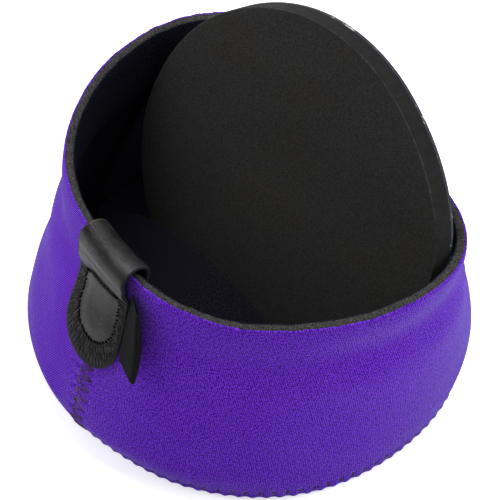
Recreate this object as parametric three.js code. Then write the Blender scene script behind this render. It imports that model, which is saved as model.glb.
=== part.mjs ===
// A soft neoprene cover for the front of a large lens hood.
// Millimetres, +Z up. The cover lies on its closed end with its mouth up. The origin is the centre
// of its underside, and the side seam, with the pull tab over it, is at -Y.
import * as THREE from "three";

const degrees = Math.PI / 180;

// Cloth: purple jersey outside, foam core, black jersey lining, with a film of glue between them
const jerseyThickness = 0.6;
const foamThickness = 2.7;
const liningThickness = 0.5;
const glueFilm = 0.1;
const foamDepth = jerseyThickness + glueFilm;
const liningDepth = foamDepth + foamThickness + glueFilm;
const clothThickness = liningDepth + liningThickness;

// Side wall, measured outside
const baseDiameter = 171.4;
const mouthDiameter = 142;
const mouthHeight = 90;
const innerCornerRadius = 0.6;
const cornerRadius = innerCornerRadius + clothThickness;

// The mouth, pulled out of round by the disc that stands in it
const mouthOval = 0.133;
const mouthOvalDirection = -4 * degrees;
const mouthEgg = 0.037;
const mouthEggDirection = 24.5 * degrees;
const mouthSquareness = 0.0255;
const mouthSquareDirection = 30.5 * degrees;
const mouthShiftX = 3.1;
const mouthShiftY = -4.6;
const rimSaddle = 6.3;
const rimSaddleDirection = -23 * degrees;
const rimEggHeight = 2.7;

// The wall swells low down and is drawn in a little below the mouth
const bulge = 1.4;
const bulgeSide = 2.7;
const bulgeSideDirection = -41 * degrees;
const bulgeOval = 3.5;
const bulgeOvalDirection = 73 * degrees;
const bulgeRise = 0.14;
const waist = 2.8;
const waistOval = 1.4;
const waistOvalDirection = 14 * degrees;
const waistRise = 0.8;
const waistSpread = 0.12;

// Seams: the cut edges butt, and a zigzag thread holds them
const seamGap = 0.3;
const seamLean = 7.3 * degrees;
const stitchPitch = 5.2;
const stitchWidth = 5.5;
const cornerStitchTop = 0.5;
const threadRadius = 0.35;
const threadLift = 0.1;

// Pull tab: a strip of leather with round ends, folded over the mouth's edge. Above its crease it
// swells out to a strap, which stands out less at the left and has its crease lower there.
const tabWidth = 30;
const tabThickness = 1.8;
const tabLength = 46;
const tabInnerLength = 44;
const tabGap = 0.5;
const tabFoldHeight = 5.5;
const tabPuffRight = 4;
const tabPuffLeft = 2.2;
const tabCreaseRight = 9.8;
const tabCreaseLeft = 13.5;
const tabInnerPuff = 0.6;

// Stitched border of each flap, round a bare panel that sits a little to the right
const borderMargin = 0.6;
const borderThickness = 0.5;
const borderGap = 0.3;
const barePanelWidth = 20;
const barePanelCentre = 24.2;
const barePanelShift = 1.2;

// Woven label: a folded ribbon sewn in beside the tab
const ribbonThickness = 0.5;
const labelLength = 28.3;
const labelReach = 12.5;
const labelTop = 6.2;
const labelClearance = 1.2;
const labelRootSpacing = 0.9;
const labelLoopRadius = 1.3;
const labelAngle = 23 * degrees;

// Removable disc: a foam pad on a thin plate, standing in the mouth
const discDiameter = 140.8;
const padThickness = 8.6;
const plateThickness = 1.4;
const bondGap = 0.3;
const discEdgeRadius = 0.5;
const discLean = 20.3 * degrees;
const discTurn = 1.7 * degrees;
const discX = 4.6;
const discY = 5.9;
const restGap = 0.3;

// Pocket for the disc: a half round of lining cloth sewn in over the closed end. The standing disc
// lifts its free edge, most a little left of the middle.
const pocketThickness = 0.5;
const pocketInset = 5.3;
const pocketRadius = baseDiameter / 2 - pocketInset;
const pocketEnd = 6 * degrees;
const pocketRestGap = 0.2;
const pocketLift = 29;
const pocketPeakX = -14;
const pocketDiscGap = 2;

// Facets
const columns = 60;
const wallRises = [0, 0.07, 0.18, 0.34, 0.52, 0.66, 0.75, 0.83, 0.91, 1];
const cornerSteps = 2;

const baseRadius = baseDiameter / 2;

// A value that goes once, twice or more round the wall: its size times the cosine of the turns
function wave(size, turns, angle, direction) {
  return size * Math.cos(turns * (angle - direction));
}

// Closed solid through a row of sections. A section is a loop whose second half runs back beside
// its first half, so the end faces join each point to the one opposite.
function loft(sections) {
  const size = sections[0].length;
  const half = size / 2;
  const last = (sections.length - 1) * size;
  const triangles = [];
  const quad = (a, b, c, d, otherDiagonal) => {
    if (otherDiagonal) {
      triangles.push(a, b, d, b, c, d);
    } else {
      triangles.push(a, b, c, a, c, d);
    }
  };
  for (let start = 0; start < last; start += size) {
    for (let k = 0; k < size; k += 1) {
      const next = (k + 1) % size;
      quad(start + k, start + next, start + size + next, start + size + k, k >= half);
    }
  }
  for (let k = 0; k < half - 1; k += 1) {
    quad(k, size - 1 - k, size - 2 - k, k + 1, false);
    quad(last + k, last + k + 1, last + size - 2 - k, last + size - 1 - k, false);
  }
  return closedGeometry(sections.flat(), triangles);
}

// Geometry from points and triangles, with its faces turned outwards
function closedGeometry(points, triangles) {
  let volume = 0;
  for (let i = 0; i < triangles.length; i += 3) {
    const [a, b, c] = triangles.slice(i, i + 3).map((index) => points[index]);
    volume += a.dot(b.clone().cross(c));
  }
  const geometry = new THREE.BufferGeometry();
  geometry.setAttribute(
    "position",
    new THREE.Float32BufferAttribute(points.flatMap((point) => point.toArray()), 3),
  );
  geometry.setIndex(volume < 0 ? triangles.reverse() : triangles);
  geometry.computeVertexNormals();
  return geometry;
}

function mesh(name, geometry, color, roughness, metalness = 0) {
  const material = new THREE.MeshStandardMaterial({ color, roughness, metalness });
  const piece = new THREE.Mesh(geometry, material);
  piece.name = name;
  return piece;
}

// Side wall surface. Rise goes from 0 at the corner to 1 at the rim.

function mouthRadius(angle) {
  const shape =
    1 +
    wave(mouthOval, 2, angle, mouthOvalDirection) +
    wave(mouthEgg, 3, angle, mouthEggDirection) +
    wave(mouthSquareness, 4, angle, mouthSquareDirection);
  return (mouthDiameter / 2) * shape;
}

function rimHeight(angle) {
  return (
    mouthHeight +
    wave(rimSaddle, 2, angle, rimSaddleDirection) +
    wave(rimEggHeight, 3, angle, mouthEggDirection)
  );
}

function bulgeShare(rise) {
  if (rise < bulgeRise) {
    return Math.sin((Math.PI / 2) * (rise / bulgeRise));
  }
  return Math.cos((Math.PI / 2) * ((rise - bulgeRise) / (1 - bulgeRise)));
}

function waistShare(rise) {
  const distance = (rise - waistRise) / waistSpread;
  return Math.exp(-distance * distance) * (1 - rise ** 6);
}

function wallRadius(angle, rise) {
  const swelling =
    bulge +
    wave(bulgeSide, 1, angle, bulgeSideDirection) +
    wave(bulgeOval, 2, angle, bulgeOvalDirection);
  const drawnIn = waist + wave(waistOval, 2, angle, waistOvalDirection);
  const cone = (1 - rise) * baseRadius + rise * mouthRadius(angle);
  return cone + swelling * bulgeShare(rise) - drawnIn * waistShare(rise);
}

function outerPoint(angle, rise) {
  const radius = wallRadius(angle, rise);
  return new THREE.Vector3(
    rise * mouthShiftX + radius * Math.cos(angle),
    rise * mouthShiftY + radius * Math.sin(angle),
    cornerRadius + rise * (rimHeight(angle) - cornerRadius),
  );
}

// Direction up the wall at a place on it
function wallUp(angle, rise) {
  const step = 0.001;
  const low = Math.min(rise, 1 - step);
  return outerPoint(angle, low + step).sub(outerPoint(angle, low)).normalize();
}

// Direction straight out of the wall. At the corner it is level, to meet the corner's round.
function wallNormal(angle, rise) {
  if (rise === 0) {
    return new THREE.Vector3(Math.cos(angle), Math.sin(angle), 0);
  }
  const step = 0.001;
  const along = outerPoint(angle + step, rise).sub(outerPoint(angle - step, rise));
  return along.cross(wallUp(angle, rise)).normalize();
}

// Point of the wall, or a distance out from it
function wallPoint(angle, rise, out) {
  return outerPoint(angle, rise).addScaledVector(wallNormal(angle, rise), out);
}

// Point of the round between closed end and wall: turn is -90 degrees on the underside, 0 at the wall
function cornerPoint(angle, turn, depth) {
  const radius = baseRadius - cornerRadius + (cornerRadius - depth) * Math.cos(turn);
  const height = cornerRadius + (cornerRadius - depth) * Math.sin(turn);
  return new THREE.Vector3(radius * Math.cos(angle), radius * Math.sin(angle), height);
}

// The strip was sewn a little out of true, so its seam leans as it rises
function seamAngle(rise) {
  return -90 * degrees - seamLean * rise ** 2;
}

function seamWallLength() {
  const steps = 100;
  let length = 0;
  for (let i = 0; i < steps; i += 1) {
    const low = outerPoint(seamAngle(i / steps), i / steps);
    length += low.distanceTo(outerPoint(seamAngle((i + 1) / steps), (i + 1) / steps));
  }
  return length;
}

const seamLength = seamWallLength();

// Turn from the mitre to the start of a cut edge that keeps half the seam's gap
function mitreClearance(depth) {
  return Math.asin(seamGap / 2 / (cornerRadius - depth));
}

// One layer of the side wall: a strip rolled round, from one side of the seam to the other
function wallLayer(outerDepth, innerDepth) {
  const halfGap = seamGap / baseDiameter;
  const profile = (turned, depth) => {
    const points = [];
    const mitre = -45 * degrees + mitreClearance(depth);
    for (let i = 0; i < cornerSteps; i += 1) {
      points.push(cornerPoint(seamAngle(0) + turned, mitre * (1 - i / cornerSteps), depth));
    }
    for (const rise of wallRises) {
      points.push(wallPoint(seamAngle(rise) + turned, rise, -depth));
    }
    return points;
  };
  const sections = [];
  for (let j = 0; j <= columns; j += 1) {
    const turned = THREE.MathUtils.lerp(halfGap, 2 * Math.PI - halfGap, j / columns);
    sections.push([...profile(turned, outerDepth), ...profile(turned, innerDepth).reverse()]);
  }
  return loft(sections);
}

// One layer of the closed end: a round sheet whose edge turns up to the mitre
function panelLayer(lowerDepth, upperDepth) {
  const flatRadius = baseRadius - cornerRadius;
  const edge = (depth) => {
    const points = [new THREE.Vector2(0, depth), new THREE.Vector2(flatRadius, depth)];
    const mitre = 45 * degrees - mitreClearance(depth);
    const radius = cornerRadius - depth;
    for (let i = 1; i <= cornerSteps; i += 1) {
      const turn = mitre * (i / cornerSteps);
      points.push(
        new THREE.Vector2(flatRadius + radius * Math.sin(turn), cornerRadius - radius * Math.cos(turn)),
      );
    }
    return points;
  };
  const profile = [...edge(lowerDepth), ...edge(upperDepth).reverse()];
  return new THREE.LatheGeometry(profile, columns).rotateX(90 * degrees);
}

// Thread: a thin four sided tube through points, each with the direction away from the cloth
function threadGeometry(stitches) {
  const sections = stitches.map(({ point, away }, i) => {
    const before = stitches[Math.max(i - 1, 0)].point;
    const after = stitches[Math.min(i + 1, stitches.length - 1)].point;
    const sideways = after.clone().sub(before).cross(away).normalize();
    return [
      point.clone().addScaledVector(away, threadRadius),
      point.clone().addScaledVector(sideways, threadRadius),
      point.clone().addScaledVector(away, -threadRadius),
      point.clone().addScaledVector(sideways, -threadRadius),
    ];
  });
  return loft(sections);
}

// Zigzag round the corner, from below the mitre to just above the corner's round, all the way
// from seam to seam
function frontSeamThread() {
  const stitchCount = Math.round((Math.PI * baseDiameter) / stitchPitch);
  const lowTurn = -48 * degrees;
  const highRise = cornerStitchTop / seamLength;
  const sagitta = cornerRadius * (1 - Math.cos(lowTurn / 2));
  const standOff = threadRadius + threadLift + sagitta;
  const stitches = [];
  for (let j = 1; j < 2 * stitchCount; j += 1) {
    const angle = seamAngle(0) + (j / (2 * stitchCount)) * 2 * Math.PI;
    const away = new THREE.Vector3(Math.cos(angle), Math.sin(angle), 0);
    if (j % 2 === 0) {
      stitches.push({ point: cornerPoint(angle, lowTurn, -standOff), away });
    } else {
      const overCorner = Math.max(baseRadius - wallRadius(angle, highRise), 0);
      const point = outerPoint(angle, highRise).addScaledVector(away, overCorner + standOff);
      stitches.push({ point, away });
    }
  }
  return threadGeometry(stitches);
}

// Places on and over the wall beside the seam, for what is sewn there. Across is measured to the
// right as seen from outside, along is measured down from the rim, and out away from the wall.
// Above the rim, where along is negative, the place lies straight on up.
function seamPlace(across, along, out) {
  const rise = 1 - Math.max(along, 0) / seamLength;
  const angle = seamAngle(rise) + across / wallRadius(seamAngle(rise), rise);
  const place = wallPoint(angle, rise, out);
  return place.addScaledVector(wallUp(angle, 1), Math.max(-along, 0));
}

// Zigzag up the side seam, from the corner to the end of the pull tab
function sideSeamThread() {
  const lowest = seamLength - stitchWidth / 2;
  const highest = tabLength + threadRadius + tabGap;
  const legs = Math.floor((lowest - highest) / (stitchPitch / 2));
  const stitches = [];
  for (let j = 0; j <= legs; j += 1) {
    const side = j % 2 === 0 ? 1 : -1;
    const along = lowest - (j * stitchPitch) / 2;
    const across = (side * (stitchWidth - 2 * threadRadius)) / 2;
    const lift = 2 * threadRadius + threadLift;
    const point = seamPlace(across, along, lift);
    const away = seamPlace(across, along, lift + 1).sub(point);
    stitches.push({ point, away });
  }
  return threadGeometry(stitches);
}

// How far down the crease lies, for one line of the tab's width
function tabCrease(across) {
  const right = THREE.MathUtils.smoothstep(across, -tabWidth / 2, -tabWidth / 10);
  return THREE.MathUtils.lerp(tabCreaseLeft, tabCreaseRight, right);
}

// Middle line of the leather for one line of its width, from the outer end over the rim to the
// inner end, as places along the wall and out from it
function tabPath(across) {
  const endRadius = tabWidth / 2;
  const roundEnd = Math.sqrt(Math.max(endRadius ** 2 - across ** 2, 0));
  const outside = tabGap + tabThickness / 2;
  const inside = -clothThickness - tabGap - tabThickness / 2;
  const outerEnd = tabLength - endRadius + roundEnd;
  const innerEnd = tabInnerLength - endRadius + roundEnd;
  const crease = tabCrease(across);
  const puff = THREE.MathUtils.lerp(tabPuffLeft, tabPuffRight, across / tabWidth + 0.5);
  const flapSteps = 7;
  const puffSteps = 6;
  const foldSteps = 8;
  const path = [];
  for (let i = 0; i < flapSteps; i += 1) {
    path.push(new THREE.Vector2(THREE.MathUtils.lerp(outerEnd, crease, i / flapSteps), outside));
  }
  for (let i = 0; i < puffSteps; i += 1) {
    const along = crease * (1 - i / puffSteps);
    const swell = Math.cos((Math.PI / 2) * (along / crease) ** 1.6) ** 2;
    path.push(new THREE.Vector2(along, outside + puff * swell));
  }
  const foldFront = outside + puff;
  const foldBack = inside - tabInnerPuff;
  for (let i = 0; i <= foldSteps; i += 1) {
    const turn = (Math.PI * i) / foldSteps;
    const out = (foldFront + foldBack) / 2 + ((foldFront - foldBack) / 2) * Math.cos(turn);
    path.push(new THREE.Vector2(-tabFoldHeight * Math.sin(turn), out));
  }
  for (let i = 1; i <= flapSteps; i += 1) {
    const along = innerEnd * (i / flapSteps);
    const swell = Math.max(1 - along / crease, 0);
    path.push(new THREE.Vector2(along, inside - tabInnerPuff * swell ** 2));
  }
  return path;
}

// The two faces of a sheet of even thickness, from its middle line
function sheetSection(path, thickness, place) {
  const faces = [1, -1].map((side) =>
    path.map((point, i) => {
      const before = path[Math.max(i - 1, 0)];
      const after = path[Math.min(i + 1, path.length - 1)];
      const run = after.clone().sub(before).normalize();
      return place(point.x + (side * run.y * thickness) / 2, point.y - (side * run.x * thickness) / 2);
    }),
  );
  return [...faces[0], ...faces[1].reverse()];
}

function pullTab() {
  const widthSteps = 10;
  const sections = [];
  for (let i = 0; i <= widthSteps; i += 1) {
    const across = (tabWidth / 2) * Math.sin(Math.PI * (i / widthSteps - 0.5));
    const place = (along, out) => seamPlace(across, along, out);
    sections.push(sheetSection(tabPath(across), tabThickness, place));
  }
  return loft(sections);
}

// Stitched border of a flap: down one side of the bare panel, round its end and up the other side
function tabBorder(flapLength, lowFace, outwards) {
  const sideSteps = 3;
  const roundSteps = 10;
  const outerRadius = tabWidth / 2 - borderMargin;
  const innerRadius = barePanelWidth / 2;
  const outerCentre = flapLength - tabWidth / 2;
  const tongue = (step, radius, centre, shift) => {
    if (step < sideSteps) {
      const left = shift - radius;
      return [left, THREE.MathUtils.lerp(tabCrease(left), centre, step / sideSteps)];
    }
    if (step > sideSteps + roundSteps) {
      const right = shift + radius;
      const climb = (step - sideSteps - roundSteps) / sideSteps;
      return [right, THREE.MathUtils.lerp(centre, tabCrease(right), climb)];
    }
    const turn = (Math.PI * (step - sideSteps)) / roundSteps;
    return [shift - radius * Math.cos(turn), centre + radius * Math.sin(turn)];
  };
  const sections = [];
  for (let step = 0; step <= 2 * sideSteps + roundSteps; step += 1) {
    const outer = tongue(step, outerRadius, outerCentre, 0);
    const inner = tongue(step, innerRadius, barePanelCentre, barePanelShift);
    const edge = (share, out) =>
      seamPlace(
        THREE.MathUtils.lerp(outer[0], inner[0], share),
        THREE.MathUtils.lerp(outer[1], inner[1], share),
        out,
      );
    const shares = [0, 0.5, 1];
    const highFace = lowFace + outwards * borderThickness;
    sections.push([
      ...shares.map((share) => edge(share, highFace)),
      ...shares.map((share) => edge(share, lowFace)).reverse(),
    ]);
  }
  return loft(sections);
}

// The label's sewn edge, from its upper to its lower end, beside the tab
function labelRoot() {
  const across = tabWidth / 2 + labelClearance;
  const upper = seamPlace(across, labelTop, labelClearance);
  const lower = seamPlace(across, labelTop + labelLength, labelClearance);
  return { upper, lower };
}

// Folded ribbon: out from the sewn edge, round a loop and back
function wovenLabel() {
  const { upper, lower } = labelRoot();
  const root = labelRootSpacing / 2;
  const loopCentre = labelReach - labelLoopRadius - ribbonThickness / 2;
  const legSteps = 4;
  const loopSteps = 6;
  const leg = [];
  for (let i = 0; i < legSteps; i += 1) {
    const share = i / legSteps;
    const opening = THREE.MathUtils.smoothstep(share, 0, 1);
    leg.push(new THREE.Vector2(loopCentre * share, THREE.MathUtils.lerp(root, labelLoopRadius, opening)));
  }
  const loop = [];
  for (let i = 0; i <= loopSteps; i += 1) {
    const turn = 90 * degrees - (Math.PI * i) / loopSteps;
    loop.push(
      new THREE.Vector2(loopCentre + labelLoopRadius * Math.cos(turn), labelLoopRadius * Math.sin(turn)),
    );
  }
  const back = leg.map((point) => new THREE.Vector2(point.x, -point.y)).reverse();
  const path = [...leg, ...loop, ...back];

  const edgeDirection = upper.clone().sub(lower).normalize();
  const middle = labelTop + labelLength / 2;
  const across = tabWidth / 2 + labelClearance;
  const away = seamPlace(across, middle, 1).sub(seamPlace(across, middle, 0));
  const sideways = away.clone().cross(edgeDirection).negate().normalize();
  const outwards = edgeDirection.clone().cross(sideways).normalize();
  if (outwards.dot(away) < 0) {
    outwards.negate();
  }
  const reach = sideways.clone().multiplyScalar(Math.cos(labelAngle));
  reach.addScaledVector(outwards, Math.sin(labelAngle));
  const thick = outwards.clone().multiplyScalar(Math.cos(labelAngle));
  thick.addScaledVector(sideways, -Math.sin(labelAngle));
  const sections = [0, 0.5, 1].map((share) => {
    const start = lower.clone().lerp(upper, share);
    const place = (x, y) => start.clone().addScaledVector(reach, x).addScaledVector(thick, y);
    return sheetSection(path, ribbonThickness, place);
  });
  return loft(sections);
}

// Round plate with softened edges, from its own zero height up
function roundPlate(thickness) {
  const radius = discDiameter / 2;
  const profile = [
    new THREE.Vector2(0, 0),
    new THREE.Vector2(radius - discEdgeRadius, 0),
    new THREE.Vector2(radius, discEdgeRadius),
    new THREE.Vector2(radius, thickness - discEdgeRadius),
    new THREE.Vector2(radius - discEdgeRadius, thickness),
    new THREE.Vector2(0, thickness),
  ];
  return new THREE.LatheGeometry(profile, columns).rotateX(90 * degrees);
}

// Centre of the disc's face. The lower edge of its back stands on the lining of the closed end.
function discCentre() {
  const thickness = padThickness + bondGap + plateThickness;
  const edgeDrop = (discDiameter / 2) * Math.cos(discLean) + thickness * Math.sin(discLean);
  return new THREE.Vector3(discX, discY, clothThickness + restGap + edgeDrop);
}

// How far back a place in front of the disc's face may lie, at this width and height
function beforeDisc(x, z) {
  const centre = discCentre();
  const level = Math.cos(discLean);
  const sideways = Math.sin(discTurn) * level * (x - centre.x);
  const upwards = Math.sin(discLean) * (z - centre.z);
  return centre.y - (pocketDiscGap - sideways - upwards) / (Math.cos(discTurn) * level);
}

// Half round pocket: from the edge of the closed end up to the free edge, which follows the disc's
// face and comes down to the closed end at both sides
function discPocket() {
  const sideSteps = 28;
  const floor = clothThickness + pocketRestGap + pocketThickness / 2;
  const sections = [];
  for (let i = 0; i <= sideSteps; i += 1) {
    const angle = THREE.MathUtils.lerp(180 * degrees + pocketEnd, 360 * degrees - pocketEnd, i / sideSteps);
    const x = pocketRadius * Math.cos(angle);
    const sewnY = pocketRadius * Math.sin(angle);
    const left = x < pocketPeakX;
    const share = Math.abs(x - pocketPeakX) / (pocketRadius + (left ? pocketPeakX : -pocketPeakX));
    const height = floor + pocketLift * (1 - share ** (left ? 3 : 1.7));
    const atSide = THREE.MathUtils.smoothstep(Math.abs(x), 0.66 * pocketRadius, pocketRadius);
    const freeY = THREE.MathUtils.lerp(beforeDisc(x, height), sewnY / 2, atSide);
    const path = [0, 0.25, 0.5, 0.75, 1].map(
      (rise) =>
        new THREE.Vector2(
          THREE.MathUtils.lerp(sewnY, freeY, rise),
          THREE.MathUtils.lerp(floor, height, rise ** 1.15),
        ),
    );
    const place = (y, z) => new THREE.Vector3(x, y, z);
    sections.push(sheetSection(path, pocketThickness, place));
  }
  return loft(sections);
}

// The disc's own frame: its face looks along local +Z, and it lifts out along local +Y
function standingDisc() {
  const thickness = padThickness + bondGap + plateThickness;
  const disc = new THREE.Group();
  disc.position.copy(discCentre());
  disc.rotation.set(90 * degrees - discLean, 0, discTurn, "ZXY");

  const pad = mesh("disc_foam_pad", roundPlate(padThickness), 0x262426, 0.95);
  pad.position.z = -padThickness;
  const plate = mesh("disc_plate", roundPlate(plateThickness), 0x3a3a3e, 0.35);
  plate.position.z = -thickness;
  disc.add(pad, plate);
  return disc;
}

const jersey = { color: 0x5a2fb0, roughness: 0.8 };
const foam = { color: 0x3f3d3b, roughness: 0.95 };
const lining = { color: 0x121116, roughness: 0.9 };
const leather = { color: 0x2b2a2b, roughness: 0.45 };
const thread = { color: 0x2a1c20, roughness: 0.7 };
const foamInnerDepth = foamDepth + foamThickness;

const cover = new THREE.Group();
cover.add(
  mesh("side_wall_jersey", wallLayer(0, jerseyThickness), jersey.color, jersey.roughness),
  mesh("side_wall_foam", wallLayer(foamDepth, foamInnerDepth), foam.color, foam.roughness),
  mesh("side_wall_lining", wallLayer(liningDepth, clothThickness), lining.color, lining.roughness),
  mesh("front_panel_jersey", panelLayer(0, jerseyThickness), jersey.color, jersey.roughness),
  mesh("front_panel_foam", panelLayer(foamDepth, foamInnerDepth), foam.color, foam.roughness),
  mesh("front_panel_lining", panelLayer(liningDepth, clothThickness), lining.color, lining.roughness),
  mesh("disc_pocket", discPocket(), lining.color, lining.roughness),
  mesh("side_seam_thread", sideSeamThread(), thread.color, thread.roughness),
  mesh("front_seam_thread", frontSeamThread(), thread.color, thread.roughness),
  mesh("pull_tab", pullTab(), leather.color, leather.roughness),
);

const outerLeather = tabGap + tabThickness;
cover.add(
  mesh(
    "tab_stitching_outer",
    tabBorder(tabLength, outerLeather + borderGap, 1),
    thread.color,
    thread.roughness,
  ),
  mesh(
    "tab_stitching_inner",
    tabBorder(tabInnerLength, -clothThickness - outerLeather - borderGap, -1),
    thread.color,
    thread.roughness,
  ),
  mesh("woven_label", wovenLabel(), 0x1a1a1c, 0.75),
  standingDisc(),
);

export default cover;
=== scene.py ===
"""Looks of a soft neoprene cover for a lens hood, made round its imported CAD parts.

Sizes are in millimetres until a mesh is made. The frame is the CAD's: +Z up, the origin in the
middle of the underside, and the side seam with the pull tab over it at -Y.
"""

import logging
import math
from dataclasses import dataclass, field
from enum import Enum
from functools import cached_property
from typing import Any

import bpy
import numpy as np
from mathutils import Matrix, Vector
from numpy.typing import NDArray


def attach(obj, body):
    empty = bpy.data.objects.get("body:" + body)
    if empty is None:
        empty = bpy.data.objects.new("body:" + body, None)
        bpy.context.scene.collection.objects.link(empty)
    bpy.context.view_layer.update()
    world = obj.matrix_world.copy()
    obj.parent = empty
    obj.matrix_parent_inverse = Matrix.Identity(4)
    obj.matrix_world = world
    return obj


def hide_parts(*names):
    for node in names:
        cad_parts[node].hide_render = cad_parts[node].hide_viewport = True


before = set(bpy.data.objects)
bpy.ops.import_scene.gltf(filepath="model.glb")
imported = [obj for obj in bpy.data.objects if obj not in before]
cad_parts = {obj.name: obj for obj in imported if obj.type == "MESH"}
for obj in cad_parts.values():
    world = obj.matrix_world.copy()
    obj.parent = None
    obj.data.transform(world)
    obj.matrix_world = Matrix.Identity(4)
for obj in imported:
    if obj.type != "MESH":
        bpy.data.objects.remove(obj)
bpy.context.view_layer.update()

MM = 0.001
TURN = 2 * math.pi
MITRE = math.pi / 4
WHITE = (1.0, 1.0, 1.0, 1.0)
LOG = logging.getLogger("lens_hood_cover")

Array = NDArray[np.float64]
Numbers = NDArray[np.int64]
Color = tuple[float, float, float, float]
Triple = tuple[float, float, float]


class Body(Enum):
    """The CAD bodies that pieces ride on."""

    COVER = "cover"
    LABEL = "label"
    DISC = "disc"


class Slot(Enum):
    """Material slots of the record."""

    JERSEY = "jersey"
    FOAM = "neoprene_foam"
    LINING = "lining"
    THREAD = "thread"
    LEATHER = "tab_leather"
    TAB_THREAD = "tab_thread"
    RIBBON = "label_ribbon"
    PAD = "pad_foam"
    PLATE = "plate_plastic"


def srgb(red: int, green: int, blue: int) -> Color:
    """Linear colour for a screen colour.

    Args:
        red: Red, from 0 to 255.
        green: Green, from 0 to 255.
        blue: Blue, from 0 to 255.

    Returns:
        Linear red, green, blue and alpha.
    """
    share = np.array([red, green, blue]) / 255
    linear = np.where(share <= 0.04045, share / 12.92, ((share + 0.055) / 1.055) ** 2.4)
    return (*map(float, linear), 1.0)


def wave(size: float, turns: int, angle: Array, degrees: float) -> Array:
    """A value that goes round a number of times: its size times the cosine of the turns.

    Args:
        size: Greatest value.
        turns: How many times it goes round.
        angle: Angles round the cover, in radians.
        degrees: Angle at which it is greatest.

    Returns:
        The value at each angle.
    """
    return size * np.cos(turns * (angle - math.radians(degrees)))


def smooth(value: Array, low: float, high: float) -> Array:
    """A step from 0 at low to 1 at high with soft ends: 3 t squared less 2 t cubed.

    Args:
        value: Where to read the step.
        low: Where it starts.
        high: Where it ends.

    Returns:
        The step at each value.
    """
    share = np.clip((value - low) / (high - low), 0, 1)
    return share * share * (3 - 2 * share)


def bell(value: Array, width: float) -> Array:
    """A soft hump of height 1: e to the minus of the value over the width, squared."""
    return np.exp(-((value / width) ** 2))


def unit(vectors: Array) -> Array:
    """The vectors made one long."""
    return vectors / np.maximum(np.linalg.norm(vectors, axis=-1, keepdims=True), 1e-12)


def between(ends: Array, mix: Array) -> Array:
    """Rows of values that run from each end to the next, by a share from 0 to 1."""
    return ends[:-1, None] * (1 - mix) + ends[1:, None] * mix


# Meshes


@dataclass
class Surface:
    """A mesh in the making: points in millimetres, faces of four and flat coordinates.

    Attributes:
        points: One row of three for each point.
        quads: One row of four point numbers for each face.
        flats: Name of each UV map and its coordinates in metres, one pair for each face corner.
        values: Name of each attribute and its value at each point.
    """

    points: Array
    quads: Numbers
    flats: dict[str, Array] = field(default_factory=dict)
    values: dict[str, Array] = field(default_factory=dict)

    def build(self, name: str, sharp_degrees: float = 60) -> bpy.types.Object:
        """Makes the object, at the origin with its place in its mesh.

        Args:
            name: Name of the object and its mesh.
            sharp_degrees: Edges that turn by more than this stay sharp.

        Returns:
            The new object.
        """
        mesh = bpy.data.meshes.new(name)
        mesh.from_pydata(self.points * MM, [], self.quads)
        for flat_name, flat in self.flats.items():
            layer = mesh.uv_layers.new(name=flat_name)
            layer.data.foreach_set("uv", flat.astype(np.float32).ravel())
        for value_name, value in self.values.items():
            attribute = mesh.attributes.new(value_name, "FLOAT", "POINT")
            attribute.data.foreach_set("value", value.astype(np.float32).ravel())
        mesh.polygons.foreach_set("use_smooth", np.ones(len(mesh.polygons), bool))
        mesh.update()
        mesh.set_sharp_from_angle(angle=math.radians(sharp_degrees))
        piece = bpy.data.objects.new(name, mesh)
        bpy.context.scene.collection.objects.link(piece)
        return piece


def grid_quads(rows: int, columns: int, ring_rows: bool, ring_columns: bool) -> Numbers:
    """Faces of a grid of points: each point joined to the next in its row and its column.

    Args:
        rows: Points along the first direction.
        columns: Points along the second direction.
        ring_rows: Whether the last row joins the first.
        ring_columns: Whether the last column joins the first.

    Returns:
        Four point numbers for each face, the first direction first.
    """
    row = np.arange(rows if ring_rows else rows - 1)[:, None]
    column = np.arange(columns if ring_columns else columns - 1)[None, :]
    here, there = row * columns, (row + 1) % rows * columns
    beside = (column + 1) % columns
    corners = np.broadcast_arrays(here + column, there + column, there + beside, here + beside)
    return np.stack(corners, -1).reshape(-1, 4)


def grid_flat(first: Array, second: Array) -> Array:
    """Flat coordinates for the corners of grid_quads, from values that run one past each ring.

    Args:
        first: First coordinate on the grid, with one more row or column than a ring has.
        second: Second coordinate on the same grid.

    Returns:
        One pair for each face corner, in the order of grid_quads.
    """
    both = np.stack([first, second], -1)
    corners = (both[:-1, :-1], both[1:, :-1], both[1:, 1:], both[:-1, 1:])
    return np.stack(corners, 2).reshape(-1, 2)


def cap_quads(ring: Numbers) -> Numbers:
    """Faces that close a ring, in one row from side to side.

    Args:
        ring: Numbers of its points in order, an even number of them.

    Returns:
        The faces.
    """
    near = np.arange(len(ring) // 2 - 1)
    far = len(ring) - 1 - near
    return ring[np.stack([near, near + 1, far - 1, far], -1)]


def round_quads(columns: int, size: int) -> Numbers:
    """Faces of a profile that is carried round the middle.

    Args:
        columns: Columns of points, one for each turn of the profile.
        size: Points of the profile, from the middle of one side to the middle of the other.

    Returns:
        The faces, with the small holes at both middles closed.
    """
    low = np.arange(columns) * size
    around = grid_quads(columns, size, True, False)
    return np.concatenate([around, cap_quads(low)[:, ::-1], cap_quads(low + size - 1)])


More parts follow.
